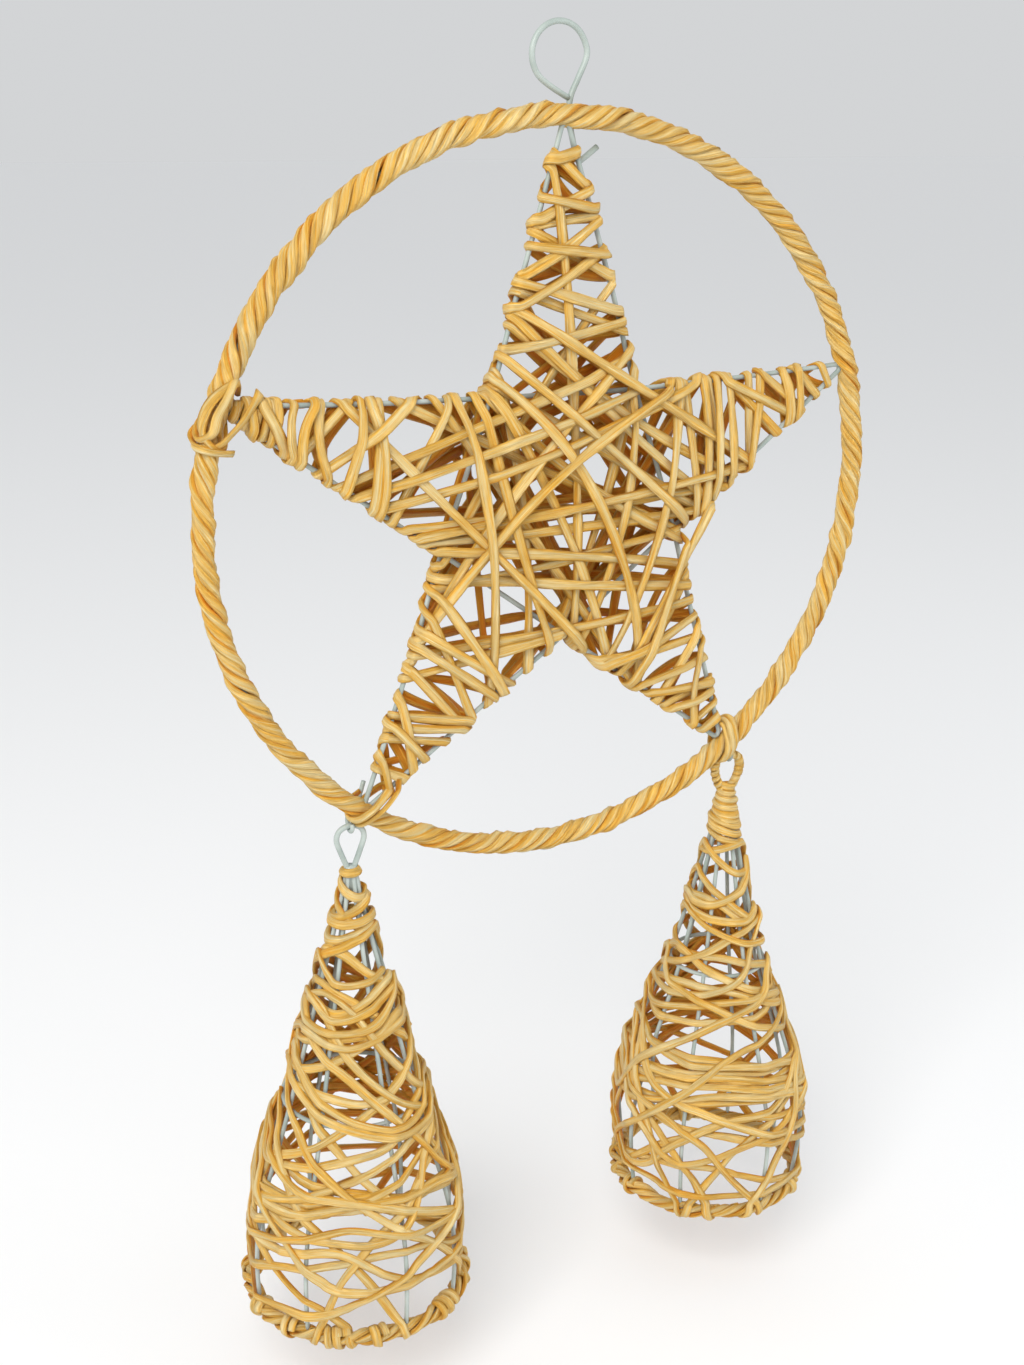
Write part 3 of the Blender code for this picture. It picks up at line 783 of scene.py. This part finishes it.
front_map, back_map = blank_map(-1), blank_map(1)
print("a height map has", MAP_SIZE, "by", MAP_SIZE, "cells")

# %% [markdown]
# A run slants across the edge wires, so its ends drift along them a little.
# Its hull is softened, because a real cord is stiff, but no further than it
# may sink into the cords below.

# %% Laying a run
LAYER, MOST_SLANT, DRIFT = 0.0016, 1.3, 0.0024

def lean_at(wrap, out_way):
    """How far a run drifts along the edge wire while it passes it."""
    slant = np.dot(out_way, wrap["way"]) / max(np.dot(out_way, wrap["out"]), 0.25)
    return float(np.clip(slant, -MOST_SLANT, MOST_SLANT)) * DRIFT

def lay_run(heights, a, b, pull):
    """Lays one run between two wraps and returns its flat line, its heights and its leans."""
    way = unit(b["place"] - a["place"])
    lean_a, lean_b = lean_at(a, -way), lean_at(b, way)
    start, stop = a["place"] - lean_a * a["way"], b["place"] - lean_b * b["way"]
    length = np.linalg.norm(stop - start)
    s = np.linspace(0, 1, max(int(length / CELL), 8) + 1)
    aside = np.cross(unit(stop - start), (0.0, 1.0, 0.0))
    line = start + (stop - start) * s[:, None] + aside * (0.001 * pull * 4 * s * (1 - s))[:, None]
    flat = line[:, [0, 2]]
    normal = unit(np.gradient(flat, axis=0))[:, ::-1] * (1, -1)

    def under(off):
        return tuple(cells(flat + normal * off).T)

    need = needed(heights, under, reach=0.0021)
    for end in (0, -1):
        need[end] = max(need[end], STAR_WIRE + HALF_THICK)
    tight = taut(s * length, need)
    high = np.maximum(0.5 * (soften(tight[:, None], 3.0)[:, 0] + tight), need - SINK)
    high[0], high[-1] = tight[0], tight[-1]
    add_cord(heights, under, high, reach=0.0025, layer=LAYER, crown=0.0028)
    return line, high, lean_a, lean_b

front_laid = [lay_run(front_map, wraps[2 * k], wraps[2 * k + 1], pull)
              for k, (_, _, pull) in enumerate(FRONT_RUNS)]
print("the pile stands out", round(1000 * front_map.max(), 1), "mm in front")

# %% [markdown]
# The back of the star is wound in the same way, but nobody plans it: each
# wrap has to be joined to another one by a run that stays inside the
# outline. A greedy choice does that. It prefers runs that lie behind the
# cords of the front, seen from the front left and a little above, so the
# gaps of the front stay open to the light.

# %% Back runs
SEEN_SHIFT = np.array((-0.0048, 0.0034))
covered = front_map > blank_map(-1) + 0.0004
rng = np.random.default_rng(11)

def between(a, b, first, last, count):
    """Places on the straight way from one wrap to another."""
    return (a["place"] + (b["place"] - a["place"]) * np.linspace(first, last, count)[:, None])[:, [0, 2]]

def may_join(one, other):
    """Whether a run of the back may go from one wrap to the other."""
    a, b = wraps[one], wraps[other]
    if other == one or other // 2 == one // 2 or a["edge"] == b["edge"]:
        return False
    return inside_star(between(a, b, 0.04, 0.96, 30), 0.0012).all()

def hidden_share(a, b):
    count = max(int(np.linalg.norm(b["place"] - a["place"]) / 0.002), 4)
    flat = between(a, b, 0.03, 0.97, count) + SEEN_SHIFT
    side = unit(flat[-1] - flat[0])[::-1] * (1, -1)
    return np.mean([covered[tuple(cells(flat + off * side).T)] for off in (-0.0014, 0.0, 0.0014)])

def liking(one, other):
    """How good a run of the back is: short ones out on an arm, 100 to 160 mm elsewhere."""
    a, b = wraps[one], wraps[other]
    span = np.linalg.norm(a["place"] - b["place"])
    if a["share"] > 45 and ARM_OF[a["edge"]] == ARM_OF[b["edge"]]:
        score = 60 - abs(abs(a["share"] - b["share"]) - 10)
    else:
        score = -160 * max(span - 0.16, 0.0) - 260 * max(0.10 - span, 0.0)
    return score + (55 * hidden_share(a, b) + rng.uniform(0, 6))

pairs, free = [], set(range(len(wraps)))
for one in sorted(free, key=lambda k: -wraps[k]["share"]):
    if one in free:
        best = max((k for k in free if may_join(one, k)), key=lambda k: liking(one, k))
        free -= {one, best}
        pairs.append((one, best))
BACK_RUNS = [pairs[k] for k in rng.permutation(len(pairs))]
back_laid = [lay_run(back_map, wraps[one], wraps[other], rng.uniform(-4, 4)) for one, other in BACK_RUNS]
print("back runs:", len(BACK_RUNS), "the pile stands out", round(1000 * back_map.max(), 1), "mm behind")

# %% [markdown]
# Between a front run and a back run the cord goes half round the edge wire.
# Front and back runs meet it at different heights and slants, so the half
# turn is drawn point by point: it sinks from the front height to the back
# one while it drifts along the edge. Where wraps crowd on an edge, the later
# ones stand a little further out.

# %% Half turns round an edge
CROWDED, STACKED = 0.0042, 0.0009
taken = {}
for wrap in wraps:
    near = taken.setdefault(wrap["edge"], [])
    rank = sum(np.linalg.norm(other - wrap["place"]) < CROWDED for other in near)
    near.append(wrap["place"])
    wrap["reach"] = STAR_WIRE + 0.26 * CORD_THICK + STACKED * min(rank, 2)

front_ends = [(2 * k, 2 * k + 1) for k in range(len(FRONT_RUNS))]
for face, ends, laid in (("front", front_ends, front_laid), ("back", BACK_RUNS, back_laid)):
    for (one, other), (line, high, lean_a, lean_b) in zip(ends, laid):
        wraps[one][face], wraps[one][face + " lean"] = high[0], lean_a
        wraps[other][face], wraps[other][face + " lean"] = high[-1], lean_b

def half_turn(wrap):
    """The cord round the wire from front to back: places and outward normals."""
    turn = np.linspace(0, math.pi, 16)[:, None]
    first_half = turn < math.pi / 2
    drift = np.where(first_half, -wrap["front lean"] * np.cos(turn), wrap["back lean"] * np.cos(turn))
    depth = np.where(first_half, -wrap["front"] * np.cos(turn), -wrap["back"] * np.cos(turn))
    depth = depth + wrap["lift"] * np.sin(turn)
    place = wrap["place"] + wrap["way"] * drift + wrap["out"] * (wrap["reach"] * np.sin(turn))
    place[:, 1] += depth[:, 0]
    return place, np.array((0.0, -1.0, 0.0)) * np.cos(turn) + wrap["out"] * np.sin(turn)

print("the fullest wrap stands", round(1000 * max(wrap["reach"] for wrap in wraps), 1), "mm off its wire")

# %% [markdown]
# Now the cord can be followed: over the front, half round an edge, over the
# back, half round the next edge, until it comes back to where it began. What
# is left over makes further closed lengths.

# %% Lengths of cord
def across(laid, sign, ahead):
    """A laid run as places and normals, walked ahead or from its other end."""
    place = laid[0].copy()
    place[:, 1] = sign * laid[1]
    normal = np.tile((0.0, float(sign), 0.0), (len(place), 1))
    return (place, normal) if ahead else (place[::-1], normal[::-1])

partner = {}
for n, (one, other) in enumerate(BACK_RUNS):
    partner[one], partner[other] = (other, n, True), (one, n, False)

chains, left = [], set(range(len(FRONT_RUNS)))
while left:
    start = enter = 2 * min(left)
    pieces = []
    while not pieces or enter != start:
        left.discard(enter // 2)
        leave = enter ^ 1
        pieces.append(across(front_laid[enter // 2], -1, enter % 2 == 0))
        pieces.append(half_turn(wraps[leave]))
        enter, n, ahead = partner[leave]
        pieces.append(across(back_laid[n], 1, ahead))
        pieces.append([rows[::-1] for rows in half_turn(wraps[enter])])
    chains.append((np.vstack([p for p, _ in pieces]), np.vstack([n for _, n in pieces]), True))
print("the star is wound with", len(chains), "lengths of cord")

# %% [markdown]
# Each length is softened where its pieces meet, so that nothing kinks, and
# its flat side is tilted a little to and fro before it is rolled.

# %% Star cord
SAMPLE, TILT = 0.0007, 0.45

def joined(bm, chains, seed, spacing, turning, section):
    """Rolls lengths of cord, each given as places, normals and whether it closes on itself."""
    total = 0.0
    for n, (place, normal, closed) in enumerate(chains):
        keep = np.concatenate(([True], np.linalg.norm(np.diff(place, axis=0), axis=1) > 1e-5))
        both = np.hstack((place[keep], normal[keep] * 0.001))
        far = distances(both[:, :3])
        both = sampled(np.linspace(0.0, far[-1], int(far[-1] / SAMPLE)), far, both)
        both = soften(both[:-1] if closed else both, 1.7, closed)
        place, normal = both[:, :3] + CENTRE, unit(both[:, 3:])
        row = np.arange(len(place))
        tilt = TILT * wander(row * SAMPLE, 0.035, seed + n)[:, None]
        if closed:
            tilt = tilt * np.minimum(1.0, np.minimum(row, len(place) - row) / 30.0)[:, None]
        along = unit(np.gradient(place, axis=0))
        normal = unit(normal * np.cos(tilt) + np.cross(along, normal) * np.sin(tilt))
        total += rolled(bm, place, normal, *section, 10, closed, spacing, turning,
                        ragged=0.17, seed=seed + n)
    return total

cord_piece("star_cord", ["star_winding"], joined, chains, seed=20, spacing=0.0042, turning=0.27,
           section=(CORD_WIDE, CORD_THICK))

# %% [markdown]
# ## The wound bells
# A bell is wound round and round its cage in one go, up and down the slope,
# so its cords cross at all angles. Each line below is a run round the side
# that faces the viewer, as places on the cage: degrees round it (0 faces the
# viewer, 90 is at the right) and millimetres below the neck. Between two runs
# the cord carries on round the back to where the next one starts. The runs
# are laid in order on a height map of the unrolled cage.

# %% Bell runs
def places_in(text):
    """One row of places for each line; a line that ends with a comma goes on in the next."""
    rows = text.replace(",\n", ", ").strip().splitlines()
    return [[tuple(map(float, place.split())) for place in row.split(",")] for row in rows]

BELL_RUNS = {"left": places_in("""
-135 100, -112 150, -100 205, -94 253
-62 150, -78 190, -92 225, -102 253
135 95, 112 150, 98 200, 90 253
60 150, 78 190, 90 222, 100 253
115 165, 140 195, 160 225, 175 253
245 160, 225 190, 205 220, 190 253
110 215, 150 222, 190 232, 215 253
-170 2, -75 4, 0 2, 75 0, 130 0
-110 3, -50 8, -5 15, 40 19, 90 14
-90 14, -40 21, 15 31, 60 33, 90 28
-95 27, -20 25, 40 20, 90 12
-80 29, -20 29, 40 27, 90 24
-90 40, -30 37, 30 32, 85 31
-90 168, 0 170, 90 172
-90 156, 0 166, 90 180
-90 180, 0 174, 90 166
-80 60, -30 64, 5 68, 35 78, 75 98, 95 104
-90 97, -38 89, 0 87, 50 84, 90 80
-75 100, -33 130, -12 145, 5 160, 35 180, 70 196
-75 160, -38 148, -8 133, 30 118, 80 100
-60 40, -15 42, 15 50, 32 57, 80 66
-90 170, -42 173, -15 170, 15 167, 40 184, 90 200
-80 72, -25 77, 27 66, 90 60
-90 158, -45 157, 0 148, 22 146, 45 130, 90 118
-90 52, -72 47, 0 37, 60 31, 90 30
-90 180, -75 190, -48 215, -30 224, -12 236, 0 253
-85 108, -20 99, 20 88, 80 80
-90 130, -60 150, -30 178, -5 201, 12 224, 26 253
-90 195, -30 178, 0 172, 20 164, 60 150, 90 140
-90 225, -42 211, 0 201, 33 199, 90 210
-60 65, 5 75, 27 93, 45 104, 80 128
-90 118, -30 116, 0 122, 28 118, 60 106, 90 94
100 150, 60 158, 40 165, 10 190, -8 212, -22 253
-50 68, -30 79, 0 101, 22 113, 60 132
-20 190, 20 190, 40 167, 65 140, 90 130
-80 180, -20 165, 8 157, 38 146, 80 135
-90 72, -50 92, -30 97, 10 115, 45 142, 85 178
-80 66, -30 80, 0 76, 40 70, 90 66
-70 200, -10 195, 18 213, 55 222, 90 216
-90 100, -28 121, 0 130, 30 137, 60 134, 90 122
-110 100, -75 120, -45 140, -28 152, 3 172, 25 187, 50 208, 82 253
-60 180, -10 172, 30 170, 60 172, 90 180
-90 150, -40 166, 0 170, 27 176, 58 190, 90 196
-90 110, -33 126, 0 134, 30 140, 60 140, 90 131
-85 160, -58 183, -38 196, -15 217, 0 221, 25 218, 60 216, 90 206
-90 205, -45 196, -22 188, 0 184, 25 189, 60 193, 90 185
-90 90, -38 88, -3 94, 20 88, 60 84
0 85, 35 77, 65 70, 90 62
-90 236, -40 237, -15 233, 14 219, 38 205, 65 190, 90 165
-85 44, -45 58, -20 61, 3 60, 32 58, 60 55, 90 44
"""), "right": places_in("""
-90 12, 0 17, 90 24
-90 17, 0 22, 90 28
-90 22, 0 27, 90 32
-90 37, 0 34, 90 30
-130 120, -108 175, -98 215, -92 253
-60 165, -78 200, -90 225, -100 253
130 115, 108 170, 96 215, 88 253
120 160, 145 190, 165 220, 180 253
250 165, 225 195, 208 225, 195 253
250 205, 215 215, 170 228, 140 253
-90 160, 0 160, 90 164
-90 171, 0 166, 90 168
-90 182, 0 177, 90 176
-90 151, 0 153, 90 158
-90 30, -45 32, 0 40, 20 47, 60 50, 90 46
-90 66, -42 60, -5 62, 20 70, 60 80, 90 84
-75 165, -45 186, -28 191, 0 194, 30 201, 60 208, 90 214
-90 148, -28 155, 0 157, 18 156, 60 160, 90 165
-90 46, -38 54, 0 58, 28 68, 55 75, 90 84
-90 95, -28 96, 0 94, 26 98, 68 105, 90 110
-90 225, -38 219, 0 216, 32 226, 70 240, 90 242
-90 165, -38 165, 0 162, 43 166, 90 172
-60 92, -28 99, 13 108, 45 116, 90 120
110 160, 90 170, 50 185, 22 201, 5 222, -12 253
-90 66, -55 72, -20 73, 20 75, 60 76, 90 68
110 198, 90 196, 60 192, 33 185, 20 186, 0 191, -25 205, -60 235, -80 253
-90 178, -38 170, 0 167, 50 172, 90 178
-90 150, -60 170, -32 196, -20 205, -10 219, -1 234, 4 253
-90 112, -40 101, -15 93, 14 86, 45 80, 90 76
-90 135, -60 137, -20 133, 20 131, 52 131, 90 125
-50 225, -20 203, 5 188, 40 184, 60 172, 85 160
-90 190, -30 180, -5 173, 33 174, 55 177, 90 185
-90 122, -45 113, 0 113, 40 119, 85 131
-70 150, -45 180, -35 198, -27 224, -12 253
20 112, 45 92, 60 85, 90 72
-90 135, -55 130, -20 124, 10 121, 62 121, 90 128
-80 172, -62 183, -42 194, -22 214, 5 211, 22 202, 60 190
-90 72, -33 76, 0 81, 28 87, 60 91, 90 92
-65 150, -38 173, -12 179, 17 189, 48 200, 90 207
-90 215, -55 228, -20 235, 0 237, 38 238, 62 238, 90 232
-90 165, -50 180, -25 188, -3 199, 13 221, 28 238, 42 253
-90 98, -75 113, -40 117, -8 121, 33 134, 62 141, 90 144
105 130, 90 150, 66 172, 58 198, 42 222, 25 253
-90 62, -40 68, 0 64, 30 59, 75 52, 90 38
-90 195, -50 159, -22 143, -5 135, 22 128, 62 118, 90 102
-90 234, -68 215, -45 198, -14 171, 16 150, 55 143, 90 130
""")}
print("bell runs:", {name: len(runs) for name, runs in BELL_RUNS.items()})

# %% [markdown]
# On the cage a cord rests on the ribs and cuts straight across between them,
# so the surface under it is an eight-sided one with softened corners. Places
# on it are told by the angle, the drop below the neck and the height above
# it, and a map of one degree by one millimetre holds the pile.

# %% The cage's surface
CAGE_ROWS, CAGE_TOP = 285, -0.020
STRAIGHTENED = 0.65

def cage_radius(bell, turn, drop):
    """Radius of the softened eight-sided surface; turn in degrees, as the runs give it."""
    math_turn = (np.asarray(turn) + bell["facing"] - 90.0) % 360.0
    ribs = np.sort(RIB_TURNS % 360.0)
    ribs = np.concatenate((ribs, ribs[:1] + 360.0))
    math_turn = np.where(math_turn < ribs[0], math_turn + 360.0, math_turn)
    n = np.clip(np.searchsorted(ribs, math_turn, side='right') - 1, 0, 7)
    half = 0.5 * (ribs[n + 1] - ribs[n])
    chord = np.cos(np.radians(half)) / np.cos(np.radians(math_turn - (ribs[n] + half)))
    return rib_radius(bell, drop) * (1 - STRAIGHTENED * (1 - chord)) + RIB_WIRE

def outwards(bell, turn):
    """The way out of a bell at some angles, as its x and y."""
    real = np.radians(np.asarray(turn) + bell["facing"])
    return np.sin(real), -np.cos(real)

def on_cage(bell, turn, drop, high):
    """Points and outward normals above the cage's surface."""
    x, y = outwards(bell, turn)
    slope = (rib_radius(bell, drop + 0.002) - rib_radius(bell, drop - 0.002)) / 0.004
    flat = 1 / np.sqrt(1 + slope ** 2)
    normal = columns(x * flat, y * flat, slope * flat)
    radius = cage_radius(bell, turn, drop)
    return bell["centre"] + columns(x * radius, y * radius, -drop) + normal * high[:, None], normal

def cage_cells(turn, drop):
    return (np.round(turn).astype(int) % 360,
            np.clip(np.round((drop - CAGE_TOP) * 1000).astype(int), 0, CAGE_ROWS - 1))

def blank_cage(bell):
    """The map of a bare cage, where only the two rings stand out."""
    heights, turns = np.zeros((360, CAGE_ROWS)), np.arange(360.0)
    for drop in (bell["middle"], BELL_DROP):
        spare = rib_radius(bell, drop) + RIB_WIRE - cage_radius(bell, turns, np.full(360, drop))
        for off in (-0.001, 0.0, 0.001):
            heights[cage_cells(turns, np.full(360, drop + off))] = spare
    return heights

print("a bell's map has 360 by", CAGE_ROWS, "cells")

# %% [markdown]
# A stretch is sampled by its true length on the cage, not by its degrees, so
# that the cord stays even near the neck, where a degree is short.

# %% A stretch of cord on a cage
def even_stretch(bell, points):
    """Samples a smooth curve through (degrees, millimetres) places, one sample a millimetre."""
    curve = smooth_route([(t / 100.0, d / 1000.0 * 10.0, 0.0) for t, d in points], 0.004)
    turn, drop = curve[:, 0] * 100.0, np.minimum(curve[:, 1] / 10.0, BELL_DROP - 0.001)
    radius = cage_radius(bell, turn, drop)
    far = np.concatenate(([0.0], np.cumsum(np.hypot(np.radians(np.diff(turn)) * radius[1:], np.diff(drop)))))
    at = np.linspace(0.0, far[-1], max(int(far[-1] / 0.001), 4))
    return soften(sampled(at, far, columns(turn, drop)), 8.0).T

print("the left bell's first run has", len(even_stretch(BELLS["left"], BELL_RUNS["left"][0])[0]), "samples")

# %% [markdown]
# A hull can't be used on a curved body, where the pull keeps a tight cord
# down. Instead the cord may not leave the surface faster than about one in
# three. Deep piles are pressed together more than shallow ones.

# %% Laying cord on a cage
STEEPEST, CAGE_LAYER, PRESSED = 0.34, 0.0014, 0.013

def lay_on_cage(bell, heights, turn, drop, last_high):
    """Heights of one stretch of cord on the cage; adds it to the map."""
    radius = np.maximum(cage_radius(bell, turn, drop), 0.003)
    step = columns(np.gradient(np.radians(turn)) * radius, np.gradient(drop))
    aside = unit(step)[:, ::-1] * (1, -1)

    def under(off):
        return cage_cells(turn + np.degrees(aside[:, 0] * off / radius), drop + aside[:, 1] * off)

    need = needed(heights, under, reach=0.42 * CORD_WIDE)
    if last_high is not None:
        need[0] = max(need[0], last_high)
    fall = STEEPEST * np.linalg.norm(step, axis=1)
    high = need.copy()
    for n in range(1, len(high)):
        high[n] = max(high[n], high[n - 1] - fall[n])
    for n in range(len(high) - 2, -1, -1):
        high[n] = max(high[n], high[n + 1] - fall[n])
    high = np.maximum(soften(high[:, None], 3.0)[:, 0], need - SINK)
    add_cord(heights, under, high, reach=0.5 * CORD_WIDE, layer=CAGE_LAYER, crown=0.54 * CORD_WIDE)
    return high

def pressed(high):
    return PRESSED * high / (PRESSED + high)

print("a pile of 10 mm is pressed to", round(1000 * pressed(0.010), 1), "mm")

# %% [markdown]
# At the bottom some runs turn in under the rim and end inside the bell, and
# the rim's rope is tied on with short bits of cord of one and a half turns.
# Both are bent round the bottom ring, so one function gives places beside it.

# %% Round the rim
def round_rim(bell, turn, bend, reach):
    """Places beside the bottom ring: bend 0 is outwards, 90 degrees is up."""
    x, y = outwards(bell, turn)
    radius = rib_radius(bell, BELL_DROP) + reach * np.cos(bend)
    place = columns(x * radius, y * radius, -BELL_DROP + reach * np.sin(bend))
    return bell["centre"] + place, columns(x * np.cos(bend), y * np.cos(bend), np.sin(bend))

def rim_tie(bell, turn, seed):
    bend = np.linspace(1.9, -5.9 - 0.4 * math.sin(seed), 60)
    drift = turn + np.linspace(-3.0, 3.4, 60) + 0.8 * math.sin(7 * seed)
    return round_rim(bell, drift, bend, 0.0051)

def hook_run(bell, heights, run):
    """A run that comes down the cage, goes under the rim and ends inside it."""
    turn, drop = even_stretch(bell, run)
    keep = drop < BELL_DROP - 0.0045
    turn, drop = turn[keep], drop[keep]
    place, normal = on_cage(bell, turn, drop, pressed(lay_on_cage(bell, heights, turn, drop, None)))
    lean = math.copysign(1.0, turn[-1] - turn[-2])
    hook, out = round_rim(bell, turn[-1] + lean * np.linspace(0.4, 8.0, 40), np.linspace(0.35, -4.4, 40),
                          np.linspace(0.0048, 0.0030, 40))
    return np.vstack((place, hook)), np.vstack((normal, out))

print("a tie round the rim has", len(rim_tie(BELLS["left"], 0.0, 1)[0]), "places")

# %% [markdown]
# A run that reaches below RIM is one of those that turn in under the rim. It
# waits until the long cord has gone round as often as there are runs before
# it. The long cord itself is all the other runs, one lap each, with a place
# of its own on the far side where the gap between two runs is wide. The right
# bell's cord starts with a tight coil round the neck.

# %% Planning a bell
NECK_COILS, RIM = 6, 252

def plan_bell(name, runs, rng):
    """The long cord's places, and the runs that end at the rim with the angle they wait for."""
    whole, lap = [], 0
    if name == "right":
        for t in np.linspace(0, 1, NECK_COILS * 8, endpoint=False):
            turn = t * NECK_COILS * 360.0
            drop = -4.5 + 24 * t - 1.5 * math.cos(math.radians(turn)) + rng.uniform(-0.7, 0.7)
            whole.append((turn - 90.0, drop))
        lap = NECK_COILS
    round_runs = [run for run in runs if run[-1][1] < RIM]
    waiting = []
    for run in runs:
        if run[-1][1] >= RIM:
            waiting.append((lap * 360.0 - 180.0, run))
            continue
        whole += [(turn + lap * 360.0, drop) for turn, drop in run]
        here, there = run[-1], round_runs[(round_runs.index(run) + 1) % len(round_runs)][0]
        gap = (there[0] + 360.0) - here[0]
        if gap > 120:
            whole.append((here[0] + 0.5 * gap + lap * 360.0, 0.5 * (here[1] + there[1]) + rng.uniform(-7, 7)))
        lap += 1
    return whole[:-1], waiting

print("the neck's coil has", NECK_COILS, "laps")

# %% [markdown]
# The long cord is laid on the map a short stretch at a time, so that it lies
# on its own earlier laps. The rope round the rim is wound like the hoop's,
# with four strands.

# %% Winding a bell
BELL_CORD, STRETCH = (0.0047, 0.0026), 60
RIM_STARTS, RIM_PITCH = 4, 0.042
RIM_TIES = {"left": (-62, -38, -14, -9, 11, 50, 56, 118, 171, 229, 262),
            "right": (-52, 70, 131, 196, 255)}

def lay_bell(bell, heights, whole, waiting):
    """Lays the long cord and the waiting runs: places and normals of each."""
    turn, drop = even_stretch(bell, whole)
    high, last, hooked = [], None, []
    for n in range(0, len(turn), STRETCH):
        while waiting and turn[n] > waiting[0][0]:
            hooked.append(hook_run(bell, heights, waiting.pop(0)[1]))
        part = slice(n, min(n + STRETCH + 1, len(turn)))
        if part.stop - part.start < 3:
            break
        laid = lay_on_cage(bell, heights, turn[part], drop[part], last)
        last = laid[-1]
        high.append(laid[:STRETCH] if part.stop < len(turn) else laid)
    high = np.concatenate(high)
    return [on_cage(bell, turn[:len(high)], drop[:len(high)], pressed(high))] + hooked

def rim_rope(bm, bell, seed):
    ring = rib_radius(bell, BELL_DROP)

    def beside_ring(at, out, up):
        r = ring + out
        return bell["centre"] + columns(r * np.cos(at), r * np.sin(at), -BELL_DROP + up)

    turns = int(round(2 * math.pi * ring / RIM_PITCH))
    return wound_ring(bm, ring, RIB_WIRE, RIM_STARTS, turns, width=0.0042, thickness=0.0029,
                      place=beside_ring, seed=seed, uneven=0.0009, tilt=0.35)

def wind_bell(bm, name, seed):
    bell, heights = BELLS[name], blank_cage(BELLS[name])
    cords = lay_bell(bell, heights, *plan_bell(name, BELL_RUNS[name], np.random.default_rng(seed)))
    cords += [rim_tie(bell, at, seed + k) for k, at in enumerate(RIM_TIES[name])]
    print(f"the {name} bell's pile is {1000 * heights.max():.1f} mm high")
    used = joined(bm, [(place - CENTRE, out, False) for place, out in cords], seed,
                  spacing=0.0034, turning=0.27, section=BELL_CORD)
    return used + rim_rope(bm, bell, seed + 50)

for name, seed in (("left", 71), ("right", 87)):
    cord_piece(f"{name}_bell_cord", [f"{name}_bell_winding"], wind_bell, name, seed)

# %% [markdown]
# The eye of the right bell is bound with the same cord pulled flat and tight:
# a helix round the bent wire. The left eye stays bare.

# %% Bound eye
BINDING_STEP, PITCH, BINDING_WIDE, BINDING_THICK = 0.0004, 0.0036, 0.0038, 0.0014

def bind_along(bm, route, wire, seed):
    """Winds a flat cord round a bent wire at a close pitch."""
    route = evenly(route, BINDING_STEP)
    side = carried_normals(route, (0.0, 1.0, 0.0))
    other = np.cross(unit(np.gradient(route, axis=0)), side)
    far = np.arange(len(route)) * BINDING_STEP
    turn = 2 * math.pi * far / PITCH + 0.5 * wander(far, 0.009, seed)
    out = side * np.cos(turn)[:, None] + other * np.sin(turn)[:, None]
    reach = wire + 0.42 * BINDING_THICK + 0.0002 * wander(far, 0.004, seed + 1)
    return rolled(bm, route + out * reach[:, None], out, BINDING_WIDE, BINDING_THICK, 8,
                  spacing=0.0016, turning=0.35, ragged=0.14, seed=seed)

cord_piece("right_eye_cord", ["right_bell_winding"], bind_along, eye_route(BELLS["right"]), EYE_WIRE, 401)

# %% [markdown]
# ## Lashings
# Three points of the star are lashed to the hoop with short lengths of the
# same cord. Each line is one length, as places beside the hoop: millimetres
# along it, outwards from it and towards the viewer. The left point has one
# slanting turn over it, two upright ones outside it and a loose end, the
# lower left one two turns over the hoop and round the bent wires, and the
# lower right one upright turns side by side.

# %% Lashings
LASHINGS = {"left": places_in("""
-7 -20 -4, -11 -18 0, -9 -15 6, 2 -11 8, 10 -7 8, 17 -3 7, 20 3 4, 19 7 -1, 14 5 -6, 4 -3 -7, -4 -10 -6
-8 -9 -5, -13 -5 3, -11 -1 7, -3 5 6, 6 7 5, 13 6 5, 18 1 7, 19 -5 4, 16 -8 -3, 6 -6 -7
-10 -7 -5, -14 -5 1, -12 -2 7, -4 0 9, 4 2 9, 12 2 9, 17 5 4, 15 6 -2, 8 3 -7, 0 -6 -7
20 5 -3, 21 6 3, 21 1 7, 20 -6 7, 19 -11 6
"""), "lower left": places_in("""
-4 -8 -6, -7 0 -6, -6 6 -1, -3 5 5, 0 -3 8, 3 -12 6, 6 -18 2, 5 -17 -4, 2 -8 -7, -1 2 -7, 0 7 -2, 2 6 4,
5 -4 8, 8 -13 6, 9 -19 4, 6 -24 4
"""), "lower right": places_in("""
4 -8 -5, 6 -12 1, 4 -9 6, -1 -1 8, -6 5 5, -8 7 0, -6 2 -6, 0 -6 -7, 6 -12 -3, 9 -12 3, 6 -8 7, 2 0 8,
-3 6 5, -4 8 0, -1 2 -7, 6 -8 -6, 11 -12 -1, 11 -11 4, 8 -5 7, 4 2 7, 1 7 2, 2 5 -4, 4 0 -6
""")}

def by_hoop(at, points):
    out, along = np.array((math.cos(at), 0.0, math.sin(at))), np.array((-math.sin(at), 0.0, math.cos(at)))
    p = 0.001 * np.asarray(points, float)
    return out * HOOP_RADIUS + p[:, :1] * along + p[:, 1:2] * out + p[:, 2:] * np.array((0.0, -1.0, 0.0))

chains = []
for point, rows in LASHINGS.items():
    at = math.radians(POINTS[point][0])
    for row in rows:
        route = smooth_route(by_hoop(at, row), 0.0007)
        chains.append((route, unit(route - by_hoop(at, [(0, 0, 0)])), False))
cord_piece("lashings", [], joined, chains, seed=501, spacing=0.0030, turning=0.25, section=(0.0050, 0.0023))
